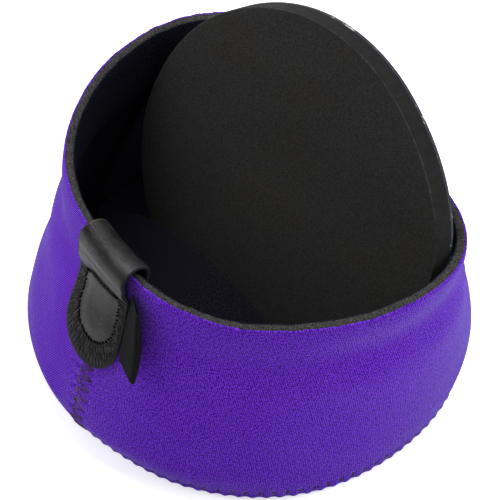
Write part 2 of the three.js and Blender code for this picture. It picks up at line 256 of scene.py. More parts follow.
def slab(
    front: Array, back: Array, flat_name: str, flat: tuple[Array, Array], **values: Array
) -> Surface:
    """A thin body between two equal grids of points, with its rim closed.

    Args:
        front: Points of the front, rows by columns by three.
        back: Points of the back on the same grid.
        flat_name: Name of its UV map.
        flat: Both flat coordinates on the grid, in millimetres.
        **values: Attributes on the grid.

    Returns:
        The surface, outwards where rows cross columns out of the front.
    """
    rows, columns = front.shape[:2]
    count = rows * columns
    face = grid_quads(rows, columns, False, False)
    rim = np.concatenate(
        [
            np.arange(columns),
            np.arange(1, rows) * columns + columns - 1,
            (rows - 1) * columns + np.arange(columns - 2, -1, -1),
            np.arange(rows - 2, 0, -1) * columns,
        ]
    )
    after = np.roll(rim, -1)
    side = np.stack([rim, after, after + count, rim + count], -1)
    quads = np.concatenate([face, face[:, ::-1] + count, side])
    place = np.tile(np.stack(flat, -1).reshape(-1, 2), (2, 1))
    return Surface(
        np.stack([front, back]).reshape(-1, 3),
        quads,
        {flat_name: place[quads.ravel()] * MM},
        {name: np.tile(value.ravel(), 2) for name, value in values.items()},
    )


def tubes(paths: Array, outs: Array, radius: float, plies: int = 3) -> Surface:
    """Twisted threads along rows of points.

    Each ring has the radius times 1 plus a small cosine that goes round once for each ply and
    turns as the thread runs on, so that the plies wind round each other.

    Args:
        paths: Threads by points by three.
        outs: Direction away from the cloth at each point.
        radius: Radius of the thread.
        plies: Number of strands that show.

    Returns:
        One closed tube for each thread, with its length and turn as the flat map "Run".
    """
    sides, lay_length, thin_end = 8, 9 * radius, 0.6
    count, steps = paths.shape[:2]
    run = unit(np.gradient(paths, axis=1))
    side = unit(np.cross(run, outs))
    top = np.cross(side, run)
    length = np.pad(
        np.cumsum(np.linalg.norm(np.diff(paths, axis=1), axis=-1), 1), ((0, 0), (1, 0))
    )
    turn = np.arange(sides) * TURN / sides
    lay = TURN * length / lay_length
    size = radius * (0.93 + 0.1 * np.cos(plies * turn[None, None] - lay[..., None]))
    size[:, [0, -1]] *= thin_end
    around = np.cos(turn)[:, None] * top[:, :, None] + np.sin(turn)[:, None] * side[:, :, None]
    first_end = np.arange(sides)
    one = np.concatenate(
        [
            grid_quads(steps, sides, False, True)[:, ::-1],
            cap_quads(first_end + (steps - 1) * sides)[:, ::-1],
            cap_quads(first_end),
        ]
    )
    share = np.broadcast_to(np.arange(sides + 1) / sides, (steps, sides + 1))
    flat = grid_flat(np.broadcast_to(length[0][:, None], share.shape), share)
    flat = flat.reshape(-1, 4, 2)[:, ::-1].reshape(-1, 2)
    flat = np.pad(flat, ((0, 4 * len(one) - len(flat)), (0, 0)))
    offsets = np.arange(count)[:, None, None] * steps * sides
    return Surface(
        (paths[:, :, None] + size[..., None] * around).reshape(-1, 3),
        (one[None] + offsets).reshape(-1, 4),
        {"Run": np.tile(flat * [MM, 1], (count, 1))},
    )


# Shape of the cloth


@dataclass(frozen=True)
class CoverShape:
    """Outer surface of the cover as the CAD has it, with the cloth's thickness inwards.

    Rise is 0 at the corner and 1 at the rim.

    Attributes:
        cloth: Thickness of the three layers together.
        jersey: Thickness of the outer layer.
        lining: Thickness of the inner layer.
        base_diameter: Diameter of the closed end.
        mouth_diameter: Mean diameter of the rim.
        mouth_height: Mean height of the rim.
        mouth_shift: How far the rim's middle lies from the closed end's, along X and Y.
        corner_radius: Radius of the round between closed end and wall.
        bulge_rise: Rise at which the wall is swollen most.
        waist_rise: Rise at which it is drawn in most.
        waist_spread: How far up and down that reaches.
        seam_lean: Degrees that the side seam has moved aside at the rim.
        stitch_pitch: Length of a zigzag.
        rib_slope: Angle of the unrolled cloth for each angle round the cover.
        rib_middle: Degrees from the seam where the ribs run straight up.
        settled: Each dent or swelling: its degrees, their spread, its height, spread and size.
        settled_from: Distances from the middle between which they fade in.
    """

    cloth: float = 4.0
    jersey: float = 0.65
    lining: float = 0.55
    base_diameter: float = 171.4
    mouth_diameter: float = 142.0
    mouth_height: float = 90.0
    mouth_shift: tuple[float, float] = (3.1, -4.6)
    corner_radius: float = 4.6
    bulge_rise: float = 0.14
    waist_rise: float = 0.8
    waist_spread: float = 0.12
    seam_lean: float = 7.3
    stitch_pitch: float = 5.2
    rib_slope: float = 0.12
    rib_middle: float = 108.0
    settled: tuple[tuple[float, ...], ...] = (
        (216, 18, 46, 9, -2.0),
        (246, 18, 9, 14, -1.1),
        (281, 14, 3, 12, -1.4),
        (330, 20, 3, 12, 0.9),
        (335, 24, 72, 13, 1.1),
        (36, 14, 90, 12, -0.85),
        (39, 14, 50, 9, -1.6),
        (20, 14, 4, 12, 0.7),
    )
    settled_from: tuple[float, float] = (45, 72)

    @property
    def base_radius(self) -> float:
        """Radius of the closed end."""
        return self.base_diameter / 2

    def mouth_radius(self, angle: Array) -> Array:
        """Radius of the rim: a circle with an oval, an egg and a square wave on it.

        Args:
            angle: Angles round the cover.

        Returns:
            The radius at each angle.
        """
        oval, egg = wave(0.133, 2, angle, -4), wave(0.037, 3, angle, 24.5)
        square = wave(0.0255, 4, angle, 30.5)
        return self.mouth_diameter / 2 * (1 + (oval + egg + square))

    def rim_height(self, angle: Array) -> Array:
        """Height of the rim: level, with a saddle and an egg wave on it."""
        return self.mouth_height + wave(6.3, 2, angle, -23) + wave(2.7, 3, angle, 24.5)

    def wall_radius(self, angle: Array, rise: Array) -> Array:
        """Radius of the wall: a cone, swollen low down and drawn in under the rim.

        Args:
            angle: Angles round the cover.
            rise: 0 at the corner to 1 at the rim.

        Returns:
            Distance from the wall's middle line.
        """
        low = np.sin(math.pi / 2 * np.clip(rise / self.bulge_rise, 0, 1))
        high = np.cos(math.pi / 2 * np.clip((rise - self.bulge_rise) / (1 - self.bulge_rise), 0, 1))
        bulge = 1.4 + wave(2.7, 1, angle, -41) + wave(3.5, 2, angle, 73)
        waist = 2.8 + wave(1.4, 2, angle, 14)
        waist_share = bell(rise - self.waist_rise, self.waist_spread) * (1 - rise**6)
        cone = (1 - rise) * self.base_radius + rise * self.mouth_radius(angle)
        return cone + bulge * np.where(rise < self.bulge_rise, low, high) - waist * waist_share

    def outer(self, angle: Array, rise: Array) -> Array:
        """Points of the wall's outside: the radius round a line that leans with the rise.

        Args:
            angle: Angles round the cover.
            rise: 0 at the corner to 1 at the rim.

        Returns:
            The points.
        """
        radius = self.wall_radius(angle, rise)
        return np.stack(
            [
                rise * self.mouth_shift[0] + radius * np.cos(angle),
                rise * self.mouth_shift[1] + radius * np.sin(angle),
                self.corner_radius + rise * (self.rim_height(angle) - self.corner_radius),
            ],
            -1,
        )

    def up(self, angle: Array, rise: Array) -> Array:
        """Direction up the wall, from two points a little apart."""
        low = np.clip(rise, 0, 0.999)
        return unit(self.outer(angle, low + 0.001) - self.outer(angle, low))

    def out(self, angle: Array, rise: Array) -> Array:
        """Direction out of the wall, which turns level as it nears the corner's round.

        Args:
            angle: Angles round the cover.
            rise: 0 at the corner to 1 at the rim.

        Returns:
            The directions, one long.
        """
        around = self.outer(angle + 0.001, rise) - self.outer(angle - 0.001, rise)
        steep = unit(np.cross(around, self.up(angle, rise)))
        flat = np.stack(np.broadcast_arrays(np.cos(angle), np.sin(angle), 0 * angle), -1)
        share = smooth(rise, 0, 0.06)[..., None]
        return unit(steep * share + flat * (1 - share))

    def place(self, angle: Array, climb: Array) -> tuple[Array, Array, Array]:
        """A place on the outside, from the mitre of the closed end's seam to the rim.

        Args:
            angle: Angles round the cover.
            climb: Below 0 the turn of the corner's round in radians, from -MITRE at the mitre,
                and above 0 the rise of the wall.

        Returns:
            The points, the directions out, and the directions up.
        """
        angle, climb = np.broadcast_arrays(angle, climb)
        rise, turn = np.maximum(climb, 0), np.minimum(climb, 0)
        level = np.stack([np.cos(angle), np.sin(angle), 0 * angle], -1)
        axis = np.array([0.0, 0.0, 1.0])
        out = level * np.cos(turn)[..., None] + axis * np.sin(turn)[..., None]
        point = level * (self.base_radius - self.corner_radius) + axis * self.corner_radius
        point = point + out * self.corner_radius
        above = (climb > 0)[..., None]
        return (
            np.where(above, self.outer(angle, rise), point),
            np.where(above, self.out(angle, rise), out),
            self.up(angle, rise),
        )

    def settle(self, points: Array) -> Array:
        """Moves points to how the soft cloth has settled: dents and swellings of the wall.

        Each is a bell of the angle times a bell of the height, and pushes along the radius. All
        of them fade towards the middle of the cover.

        Args:
            points: Points of a piece of the cover.

        Returns:
            The moved points.
        """
        x, y, z = points[..., 0], points[..., 1], points[..., 2]
        angle, radius = np.degrees(np.arctan2(y, x)), np.hypot(x, y)
        push = 0 * z
        for at, spread, height, tall, size in self.settled:
            apart = (angle - at + 180) % 360 - 180
            push = push + size * bell(apart, spread) * bell(z - height, tall)
        push = push * smooth(radius, *self.settled_from)
        return points + np.stack([x * push, y * push, 0 * z], -1) / np.maximum(radius, 1)[..., None]

    def seam_angle(self, rise: Array) -> Array:
        """Angle of the side seam, which leans with the square of the rise."""
        return -math.pi / 2 - math.radians(self.seam_lean) * rise**2

    @cached_property
    def seam_length(self) -> float:
        """Length of the side seam above the corner, along 100 short chords.

        Returns:
            The length.
        """
        rise = np.linspace(0, 1, 101)
        points = self.outer(self.seam_angle(rise), rise)
        return float(np.linalg.norm(np.diff(points, axis=0), axis=-1).sum())

    def beside_seam(self, across: Array, along: Array, out: Array) -> Array:
        """Places by the side seam, as the CAD sets its tab and label.

        Args:
            across: To the right as seen from outside.
            along: Down from the rim, and below 0 straight on up from it.
            out: Away from the wall's outside.

        Returns:
            The points.
        """
        across, along, out = np.broadcast_arrays(across, along, out)
        rise = 1 - np.maximum(along, 0) / self.seam_length
        line = self.seam_angle(rise)
        angle = line + across / self.wall_radius(line, rise)
        place = self.outer(angle, rise) + self.out(angle, rise) * out[..., None]
        one = np.ones_like(angle)
        return place + self.up(angle, one) * np.maximum(-along, 0)[..., None]

    def sewn_line(
        self, across: Array, along: Array, out: Array, outwards: int = 1
    ) -> tuple[Array, Array]:
        """Lines of thread by the side seam.

        Args:
            across: To the right as seen from outside.
            along: Down from the rim.
            out: Away from the wall's outside.
            outwards: 1 for thread on the outside and -1 for thread on the inside.

        Returns:
            The points, and the directions away from the cloth.
        """
        points = self.beside_seam(across, along, out)
        return points, unit(self.beside_seam(across, along, out + outwards) - points)

    def rim_wobble(self, angle: Array) -> Array:
        """Unevenness of the hand cut rim, along the wall: a few small waves of odd lengths."""
        waves = zip((5, 11, 19, 31, 53, 83, 127), (0.16, 0.13, 0.1, 0.1, 0.08, 0.06, 0.05))
        return sum(size * np.cos(turns * angle + 1.7 * turns) for turns, size in waves)

    def to_flat(self, turned: Array, run: Array) -> tuple[Array, Array]:
        """The cloth as it was cut: the cone unrolled about its own tip.

        Distance from the tip is the base's less the run, and the angle is the turn from where the
        ribs run straight up the wall, times a slope. The cloth's stretch has lessened that slope.

        Args:
            turned: Angle from the side seam, from 0 to 2 pi.
            run: Length up the cloth from the mitre.

        Returns:
            Flat distance across the ribs and along them, in metres.
        """
        radius = self.base_radius / self.rib_slope
        swing = (turned - math.radians(self.rib_middle)) * self.rib_slope
        return (radius - run) * np.sin(swing) * MM, (radius - (radius - run) * np.cos(swing)) * MM


@dataclass(frozen=True)
class StitchPlan:
    """Zigzag of the seam round the closed end, and how it draws the cloth in.

    Run is the length up the cloth from the mitre, and below 0 on the closed end.

    Attributes:
        shape: The cover's surface.
        high: Run of the upper needle points.
        low: Run of the lower needle points.
    """

    shape: CoverShape
    high: float = 5.2
    low: float = -2.9

    @cached_property
    def count(self) -> int:
        """Whole zigzags round the closed end."""
        return round(math.pi * self.shape.base_diameter / self.shape.stitch_pitch)

    def leg_run(self, turned: Array) -> Array:
        """Where the thread lies: it climbs from low to high and back once in each zigzag."""
        share = turned / TURN * self.count % 1
        return self.low + (self.high - self.low) * (1 - np.abs(2 * share - 1))

    def scallop(self, share: Array, run: Array) -> Array:
        """Swelling between the stitches: a cosine of the zigzags passed times a bell of the run."""
        return 0.27 * np.cos(TURN * share) * bell(run - 0.4, 3.0)

    def buried(self, run: Array) -> Array:
        """How far the swollen edge of the closed end covers the thread: a bell of the run."""
        return bell(run - 1.0, 2.0)

    def relief(self, turned: Array, run: Array) -> Array:
        """How far the cloth stands out round this seam.

        A groove at the mitre, scallops that are pinched in once a zigzag, a fainter groove under
        each leg of thread, a dip at each needle hole and a soft swelling in between.

        Args:
            turned: Angle from the side seam.
            run: Length up the cloth from the mitre.

        Returns:
            Distance outwards.
        """
        share = turned / TURN * self.count
        pitch = TURN * self.shape.base_radius / self.count
        steep = 2 * (self.high - self.low) / pitch
        off_leg = np.abs(run - self.leg_run(turned)) / math.hypot(1, steep)
        inside = smooth(run, self.low - 1, self.low) * (1 - smooth(run, self.high, self.high + 1))
        from_high = np.hypot(((share % 1) - 0.5) * pitch, run - self.high)
        from_low = np.hypot(((share + 0.5) % 1 - 0.5) * pitch, run - self.low)
        swelling = 0.18 * bell(run - 1.6, 1.6) + self.scallop(share, run)
        mitre_groove = 0.3 * bell(run, 0.5)
        leg_groove = 0.42 * bell(off_leg, 0.5) * inside * (1 - 0.85 * self.buried(run))
        needle_holes = 0.5 * bell(from_high, 0.65) + 0.3 * bell(from_low, 0.8)
        return swelling - mitre_groove - leg_groove - needle_holes


@dataclass(frozen=True)
class SideSeamPlan:
    """Zigzag of the side seam: needle points left and right of it, from the corner to the tab.

    Attributes:
        shape: The cover's surface.
        top: Highest needle point, as a length down from the rim.
        width: Distance of the left and right needle points.
        shift: How far right of the seam the zigzag lies.
    """

    shape: CoverShape
    top: float = 45.5
    width: float = 7.2
    shift: float = 1.1

    @cached_property
    def bottom(self) -> float:
        """Lowest needle point, as a length down from the rim."""
        return self.shape.seam_length - 2.4

    def needle(self, number: Array) -> tuple[Array, Array]:
        """Place of each needle point: sides in turn, half a pitch apart.

        Args:
            number: Numbers of the points, from the lowest.

        Returns:
            Length across and length along.
        """
        side = np.where(number % 2 == 0, 1.0, -1.0)
        across = self.shift + side * self.width / 2
        return across, self.bottom - number * self.shape.stitch_pitch / 2

    def relief(self, across: Array, along: Array) -> Array:
        """How far the cloth stands out by the side seam: swollen, with dips under the thread.

        Args:
            across: To the right of the seam.
            along: Down from the rim.

        Returns:
            Distance outwards.
        """
        pitch = self.shape.stitch_pitch
        share = (self.bottom - along) / pitch
        sewn = smooth(along, self.top - 3, self.top)
        beside = across - self.shift
        right = np.hypot(beside - self.width / 2, ((share + 0.5) % 1 - 0.5) * pitch)
        left = np.hypot((beside + self.width / 2) / 1.6, (share % 1 - 0.5) * pitch)
        leg = self.width / 2 * (4 * np.abs(share % 1 - 0.5) - 1)
        under = 0.25 * bell(beside - leg, 0.7) * smooth(self.width / 2 + 1 - np.abs(beside), 0, 1)
        puckers = 0.5 * bell(right, 0.8) + 0.85 * bell(left, 0.9) + 0.8 * under
        return 0.35 * bell(across, 3.2) - 0.15 * bell(across, 0.4) - puckers * sewn


# Materials


class Wire:
    """An output of a node, with which a material's values can be written as sums."""

    def __init__(self, shading: "Shading", socket: bpy.types.NodeSocket) -> None:
        """Keeps the output and the material that it belongs to.

        Args:
            shading: The material.
            socket: The output.
        """
        self.shading, self.socket = shading, socket

    def math(self, operation: str, *others: Any) -> "Wire":
        """The result of a math node on this value and up to two more."""
        values = dict(enumerate((self, *others)))
        return self.shading.node("Math", values, operation=operation)

    def __add__(self, other: Any) -> "Wire":
        """This value plus the other."""
        return self.math("ADD", other)

    def __sub__(self, other: Any) -> "Wire":
        """This value less the other."""
        return self.math("SUBTRACT", other)

    def __mul__(self, other: Any) -> "Wire":
        """This value times the other."""
        return self.math("MULTIPLY", other)

    def __truediv__(self, other: Any) -> "Wire":
        """This value over the other."""
        return self.math("DIVIDE", other)

    def ripple(self, operation: str = "SINE") -> "Wire":
        """A sine or cosine that goes round once for each 1 of this value, from 0 to 1."""
        return (self * TURN).math(operation) * 0.5 + 0.5

    def span(self, low: float, high: float, to_low: float = 0, to_high: float = 1) -> "Wire":
        """This value stretched from one range to another and kept inside it."""
        return self.shading.node("MapRange", {0: self, 1: low, 2: high, 3: to_low, 4: to_high})


class Shading:
    """One material's node tree, with short ways to add to it."""

    def __init__(self, name: str) -> None:
        """Starts a material that holds only its shader and output.

        Args:
            name: The material's name.
        """
        self.material = bpy.data.materials.new(name)
        self.material.use_nodes = True
        self.tree = self.material.node_tree
        self.tree.nodes.clear()
        self.shader = self.tree.nodes.new("ShaderNodeBsdfPrincipled")
        self.output = self.tree.nodes.new("ShaderNodeOutputMaterial")
        self.tree.links.new(self.shader.outputs["BSDF"], self.output.inputs["Surface"])

    def set(self, **sockets: Any) -> bpy.types.Material:
        """Sets or links the shader's sockets, named with underscores for spaces.

        Args:
            **sockets: What goes into each.

        Returns:
            The finished material.
        """
        for name, value in sockets.items():
            self.feed(self.shader.inputs[name.replace("_", " ")], value)
        return self.material

    def feed(self, socket: bpy.types.NodeSocket, value: Any) -> None:
        """Links a socket to an output, or sets its value.

        Args:
            socket: The input.
            value: An output to link, or a number, colour or vector.
        """
        if isinstance(value, Wire):
            self.tree.links.new(value.socket, socket)
        else:
            socket.default_value = value

    def node(self, kind: str, inputs: dict[Any, Any], output: Any = 0, **settings: Any) -> Wire:
        """Adds a node.

        Args:
            kind: Its type, without the ShaderNode in front.
            inputs: Input name or number, and what goes in.
            output: Name or number of the output that is wanted.
            **settings: The node's own settings.

        Returns:
            That output.
        """
        made = self.tree.nodes.new("ShaderNode" + kind)
        for name, value in settings.items():
            setattr(made, name, value)
        for name, value in inputs.items():
            self.feed(made.inputs[name], value)
        return Wire(self, made.outputs[output])

    def place(self) -> Wire:
        """Object coordinates, in metres."""
        return self.node("TexCoord", {}, "Object")

    def flat(self, name: str) -> Wire:
        """The piece's own flat coordinates of that name."""
        return self.node("UVMap", {}, uv_map=name)

    def value(self, name: str) -> Wire:
        """The piece's attribute of that name."""
        return self.node("Attribute", {}, "Fac", attribute_name=name)

    def ray(self, kind: str) -> Wire:
        """1 for rays of that kind, such as those that the camera sees, and else 0."""
        return self.node("LightPath", {}, f"Is {kind} Ray")

    def split(self, vector: Wire) -> tuple[Wire, Wire, Wire]:
        """The three parts of a vector."""
        parts = self.node("SeparateXYZ", {0: vector}).socket.node.outputs
        return Wire(self, parts[0]), Wire(self, parts[1]), Wire(self, parts[2])

    def noise(self, vector: Wire, size: float, detail: float = 2, rough: float = 0.5) -> Wire:
        """Cloudy noise from 0 to 1.

        Args:
            vector: Coordinates in metres.
            size: Size of its largest clouds, in millimetres.
            detail: Number of finer layers.
            rough: Strength of the finer layers.

        Returns:
            The noise.
        """
        scale = 1 / (size * MM)
        inputs = {"Vector": vector, "Scale": scale, "Detail": detail, "Roughness": rough}
        return self.node("TexNoise", inputs, "Fac")

    def cells(self, vector: Wire, size: float, feature: str = "F1") -> Wire:
        """Distance to scattered points, or to the edges of their cells.

        Args:
            vector: Coordinates in metres.
            size: Mean distance of the points, in millimetres.
            feature: Which distance.

        Returns:
            The distance.
        """
        inputs = {"Vector": vector, "Scale": 1 / (size * MM)}
        return self.node("TexVoronoi", inputs, "Distance", feature=feature)

    def stretched(self, turn: Triple, scale: Triple) -> Wire:
        """Object coordinates turned and stretched, for noise in strokes."""
        return self.node("Mapping", {0: self.place(), 2: turn, 3: scale})

    def blend(self, share: Wire, first: Any, second: Any) -> Wire:
        """A colour between two, by a share from 0 to 1."""
        return self.node("Mix", {0: share, 6: first, 7: second}, 2, data_type="RGBA")

    def bump(self, height: Wire, depth: float, before: Wire | None = None) -> Wire:
        """A normal from a height.

        Args:
            height: Height from 0 to 1.
            depth: What a height of 1 stands for, in millimetres.
            before: Normal that is bumped further.

        Returns:
            The normal.
        """
        inputs = {"Strength": 1.0, "Distance": depth * MM, "Height": height}
        return self.node("Bump", inputs if before is None else {**inputs, "Normal": before})


@dataclass(frozen=True)
class JerseyFinish:
    """Knitted jersey, seen on its face: ribs of small V stitches with a soft nap.

    Attributes:
        name: Material name.
        color: Colour of the stitches' tops.
        deep: Colour between the ribs.
        nap: Colour of the nap at the sides.
        wale: Distance of the ribs.
        course: Height of a stitch.
        relief: Depth between the ribs.
        sheen: Strength of the nap.
        lint: Share of lint specks that show.
    """

    name: str
    color: Color
    deep: Color
    nap: Color
    wale: float = 0.78
    course: float = 0.6
    relief: float = 0.24
    sheen: float = 1.0
    lint: float = 0.4

    def make(self) -> bpy.types.Material:
        """Builds the material.

        Across a rib the height is half a cosine, and along it a sine that is pushed back
        towards the rib's sides, which draws the V. Noise moves the ribs and roughens them, less
        so left of the seam, where the cloth is drawn tight. The foot of the wall is darker, a
        painted shade.

        Returns:
            The material.
        """
        s = Shading(self.name)
        flat, place = s.flat("Cloth"), s.place()
        across, along, _ = s.split(flat)
        rib = (s.noise(flat, 7) * (0.5 * MM) + across) / (self.wale * MM)
        cell = rib.math("FRACT") - 0.5
        crown = cell.ripple("COSINE")
        loop = (along / (self.course * MM) - cell.math("ABSOLUTE") * 1.3).ripple()
        grain = s.noise(flat, 0.7, 2, 0.7).span(0.36, 0.64)
        x, y, height = s.split(place)
        drawn = x.span(-6 * MM, -16 * MM) * x.span(-72 * MM, -48 * MM)
        drawn = drawn * y.span(14 * MM, -14 * MM)
        knit = (drawn * 0.41 + 0.29) * crown + loop * 0.12 + (drawn * -0.41 + 0.59) * grain
        # Painted shade: the tone falls towards the deep colour at the foot of the wall.
        tone = knit.span(0.32, 0.68) * height.span(8 * MM, 58 * MM, 0.86, 1)
        color = s.blend(tone, self.deep, self.color)
        # Painted shade: the cut edge at the rim is darkened towards the deep colour.
        color = s.blend(s.value("rim_edge_shade") * 0.25, color, self.deep)
        color = s.blend(s.noise(place, 26, 3).span(0.42, 0.75, 0, 0.025), color, self.nap)
        specks = s.cells(place, 7).span(0.018, 0.03, self.lint, 0)
        return s.set(
            Base_Color=s.blend(specks, color, srgb(170, 160, 200)),
            Roughness=knit.span(0.2, 0.9, 0.92, 0.74),
            Specular_IOR_Level=0.08,
            Sheen_Weight=self.sheen,
            Sheen_Roughness=0.2,
            Sheen_Tint=self.nap,
            Normal=s.bump(knit, self.relief, s.bump(s.noise(place, 9), 0.22)),
        )


@dataclass(frozen=True)
class CutFoamFinish:
    """Cut edge of closed cell foam: small torn cells, with a paler dust on their walls."""

    name: str
    color: Color
    pale: Color
    cell: float = 0.45
    relief: float = 0.16

    def make(self) -> bpy.types.Material:
        """Builds the material: cell distance for the pits, noise for tears and dust.

        Returns:
            The material.
        """
        s = Shading(self.name)
        place = s.place()
        tears = s.noise(place, 0.55, 3, 0.7)
        height = tears * 0.6 + s.cells(place, self.cell) * 0.5
        color = s.blend(tears.span(0.4, 0.66), self.color, self.pale)
        stained = s.noise(place, 5, 3).span(0.35, 0.6, 0.32, 0)
        return s.set(
            Base_Color=s.blend(stained, color, srgb(20, 19, 20)),
            Roughness=0.96,
            Specular_IOR_Level=0.12,
            Normal=s.bump(height, self.relief),
        )


@dataclass(frozen=True)
class LeatherFinish:
    """Smooth finished leather: fine closed grain, soft creases, and raw brown cut edges."""

    name: str
    color: Color
    raw: Color
    edge: Color
    pressed: Color = srgb(22, 21, 21)
    panel: Triple = (20.0, 24.2, 1.2)
    crease: tuple[float, float] = (13.5, 9.8)

    def make(self) -> bpy.types.Material:
        """Builds the material.

        The grain is the edge distance of small cells over broad noise. The stitched border is
        darker and rougher than the bare panel.

        Returns:
            The material.
        """
        s = Shading(self.name)
        place = s.place()
        pores = s.noise(place, 0.5, 3, 0.6)
        border, cut = self.border(s), s.value("edge")
        rough_parts = border.math("MAXIMUM", cut)
        color = s.blend(s.noise(place, 9, 3).span(0.35, 0.7), self.color, srgb(40, 39, 41))
        scuff = s.noise(place, 3, 5, 0.75).span(0.55, 0.75, 0, 0.4)
        color = s.blend(scuff, color, srgb(92, 90, 88))
        color = s.blend(border * 0.75, color, self.pressed)
        fibres = s.noise(place, 0.8, 3, 0.7).span(0.3, 0.7, 0.55, 1)
        color = s.blend(cut * fibres, color, s.blend(s.value("left"), self.edge, self.raw))
        grain = s.cells(place, 0.62, "DISTANCE_TO_EDGE").span(0.0, 0.16)
        fuzz = s.noise(place, 0.7, 3, 0.7) * rough_parts
        height = grain * 0.4 + pores * 0.7 + fuzz * 4.0
        return s.set(
            Base_Color=color,
            Roughness=pores.span(0.35, 0.65, 0.26, 0.42) + rough_parts * 0.45,
            Specular_IOR_Level=0.35,
            Normal=s.bump(height, 0.08, s.bump(s.noise(place, 5), 0.14)),
        )

    def border(self, s: Shading) -> Wire:
        """The stitched border: what lies outside the bare panel and below the crease.

        The distance from the panel's outline is that from its round end's centre, with nothing
        counted above it.

        Args:
            s: The material.

        Returns:
            The border, from 0 to 1.
        """
        width, centre, shift = self.panel
        across, along, _ = s.split(s.flat("Flap"))
        beside = across - shift * MM
        below = (along - centre * MM).math("MAXIMUM", 0.0)
        off = (beside * beside + below * below).math("SQRT") - width / 2 * MM
        return off.span(0.0, 0.4 * MM) * along.span(self.crease[1] * MM, self.crease[0] * MM)


@dataclass(frozen=True)
class ThreadFinish:
    """Twisted sewing thread: fibres that wind round it, paler where they catch the light."""

    name: str
    color: Color
    pale: Color
    rough: float = 0.6
    shine: float = 0.4

    def make(self) -> bpy.types.Material:
        """Builds the material: a sine of the run plus the turn draws the fibres.

        Slow noise makes some stitches paler than others.

        Returns:
            The material.
        """
        s = Shading(self.name)
        run, turn, _ = s.split(s.flat("Run"))
        ply = (run / (1.0 * MM) - turn * 3.0).ripple()
        height = s.noise(s.place(), 0.35, 3, 0.7) * 0.5 + ply * 0.5
        worn = s.noise(s.place(), 2.2, 1).span(0.4, 0.62, 0.15, 1)
        return s.set(
            Base_Color=s.blend(height.span(0.3, 0.85) * worn, self.color, self.pale),
            Roughness=self.rough,
            Specular_IOR_Level=self.shine,
            Normal=s.bump(height, 0.05),
        )


@dataclass(frozen=True)
class RibbonFinish:
    """Woven ribbon: fine threads across and along, and a firm woven edge at both sides."""

    name: str
    color: Color
    pale: Color
    thread: float = 0.28
    width: float = 28.3

    def make(self) -> bpy.types.Material:
        """Builds the material: the product of two sines draws the weave.

        Returns:
            The material.
        """
        s = Shading(self.name)
        around, height, _ = s.split(s.flat("Ribbon"))
        warp = (around * (math.pi / (self.thread * MM))).math("SINE")
        weft = (height * (math.pi / (self.thread * 0.8 * MM))).math("SINE")
        weave = warp * weft * 0.5 + 0.5
        fuzz = s.noise(s.place(), 0.5, 3, 0.65)
        ribs = weft.math("ABSOLUTE") * 0.35 + weave * 0.5 + fuzz * 0.35
        half = self.width / 2
        selvedge = (height - half * MM).math("ABSOLUTE").span((half - 1.1) * MM, (half - 0.8) * MM)
        color = s.blend(ribs.span(0.3, 1.0), self.color, self.pale)
        return s.set(
            Base_Color=s.blend(selvedge * 0.5, color, srgb(24, 24, 26)),
            Roughness=0.85,
            Specular_IOR_Level=0.1,
            Normal=s.bump(ribs, 0.05),
        )


@dataclass(frozen=True)
class PadFinish:
    """Skin of soft foam: matt, faintly mottled, with its cut edge a little paler and grooved."""

    name: str
    color: Color
    cool: Color
    cut: Color

    def make(self) -> bpy.types.Material:
        """Builds the material: broad noise for the mottling and fine noise for the skin.

        Returns:
            The material.
        """
        s = Shading(self.name)
        place, edge = s.place(), s.value("edge")
        skin = s.noise(place, 0.6, 3, 0.7)
        color = s.blend(s.noise(place, 45, 3).span(0.38, 0.66), self.color, self.cool)
        color = s.blend(skin.span(0.38, 0.68), color, srgb(56, 54, 52))
        strokes = s.noise(s.stretched((0, 0, 0), (1.0, 0.3, 0.3)), 1.6, 4, 0.7)
        cut = s.blend(strokes.span(0.35, 0.65), self.cut, srgb(26, 25, 25))
        color = s.blend(edge, color, cut)
        # Painted highlight: a pale broken line where the round cut edge meets the face.
        crest_highlight = s.value("crest_highlight") * strokes.span(0.34, 0.62, 0.1, 0.7)
        color = s.blend(crest_highlight, color, srgb(86, 85, 82))
        dots = s.cells(place, 9).span(0.02, 0.035, 0.35, 0)
        relief = edge * strokes * 1.2 + skin * 0.5
        return s.set(
            Base_Color=s.blend(dots, color, srgb(110, 108, 104)),
            Roughness=0.88,
            Specular_IOR_Level=0.22,
            Sheen_Weight=0.05,
            Normal=s.bump(relief, 0.07, s.bump(s.noise(place, 14), 0.2)),
        )


@dataclass(frozen=True)
class PlateFinish:
    """Thin dark plastic sheet: satin with fine scratches, its cut edge glossy with painted glints.
    """

    name: str
    color: Color
    edge: Color

    def make(self) -> bpy.types.Material:
        """Builds the material: long thin noise for scratches and speckle for painted glints on the
        edge.

        Returns:
            The material.
        """
        s = Shading(self.name)
        place, edge = s.place(), s.value("edge")
        streaks = s.noise(s.stretched((0.4, 0.2, 0.9), (1.0, 0.06, 1.0)), 1.5, 4, 0.7)
        color = s.blend(streaks.span(0.62, 0.72) * 0.25, self.color, srgb(96, 96, 100))
        color = s.blend(s.noise(place, 30, 3).span(0.35, 0.7, 0, 0.35), color, srgb(34, 34, 37))
        # Painted highlight: white specks on the cut edge stand in for glints.
        edge_glints = s.noise(place, 4, 4, 0.75).span(0.585, 0.635) * 0.85
        color = s.blend(edge, color, s.blend(edge_glints, self.edge, srgb(205, 206, 208)))
        return s.set(
            Base_Color=color,
            Roughness=streaks.span(0.3, 0.7, 0.36, 0.5) - edge * 0.08,
            Specular_IOR_Level=0.35,
            Normal=s.bump(s.noise(place, 0.6, 3, 0.6), 0.03, s.bump(streaks, 0.02)),
        )


# Pieces


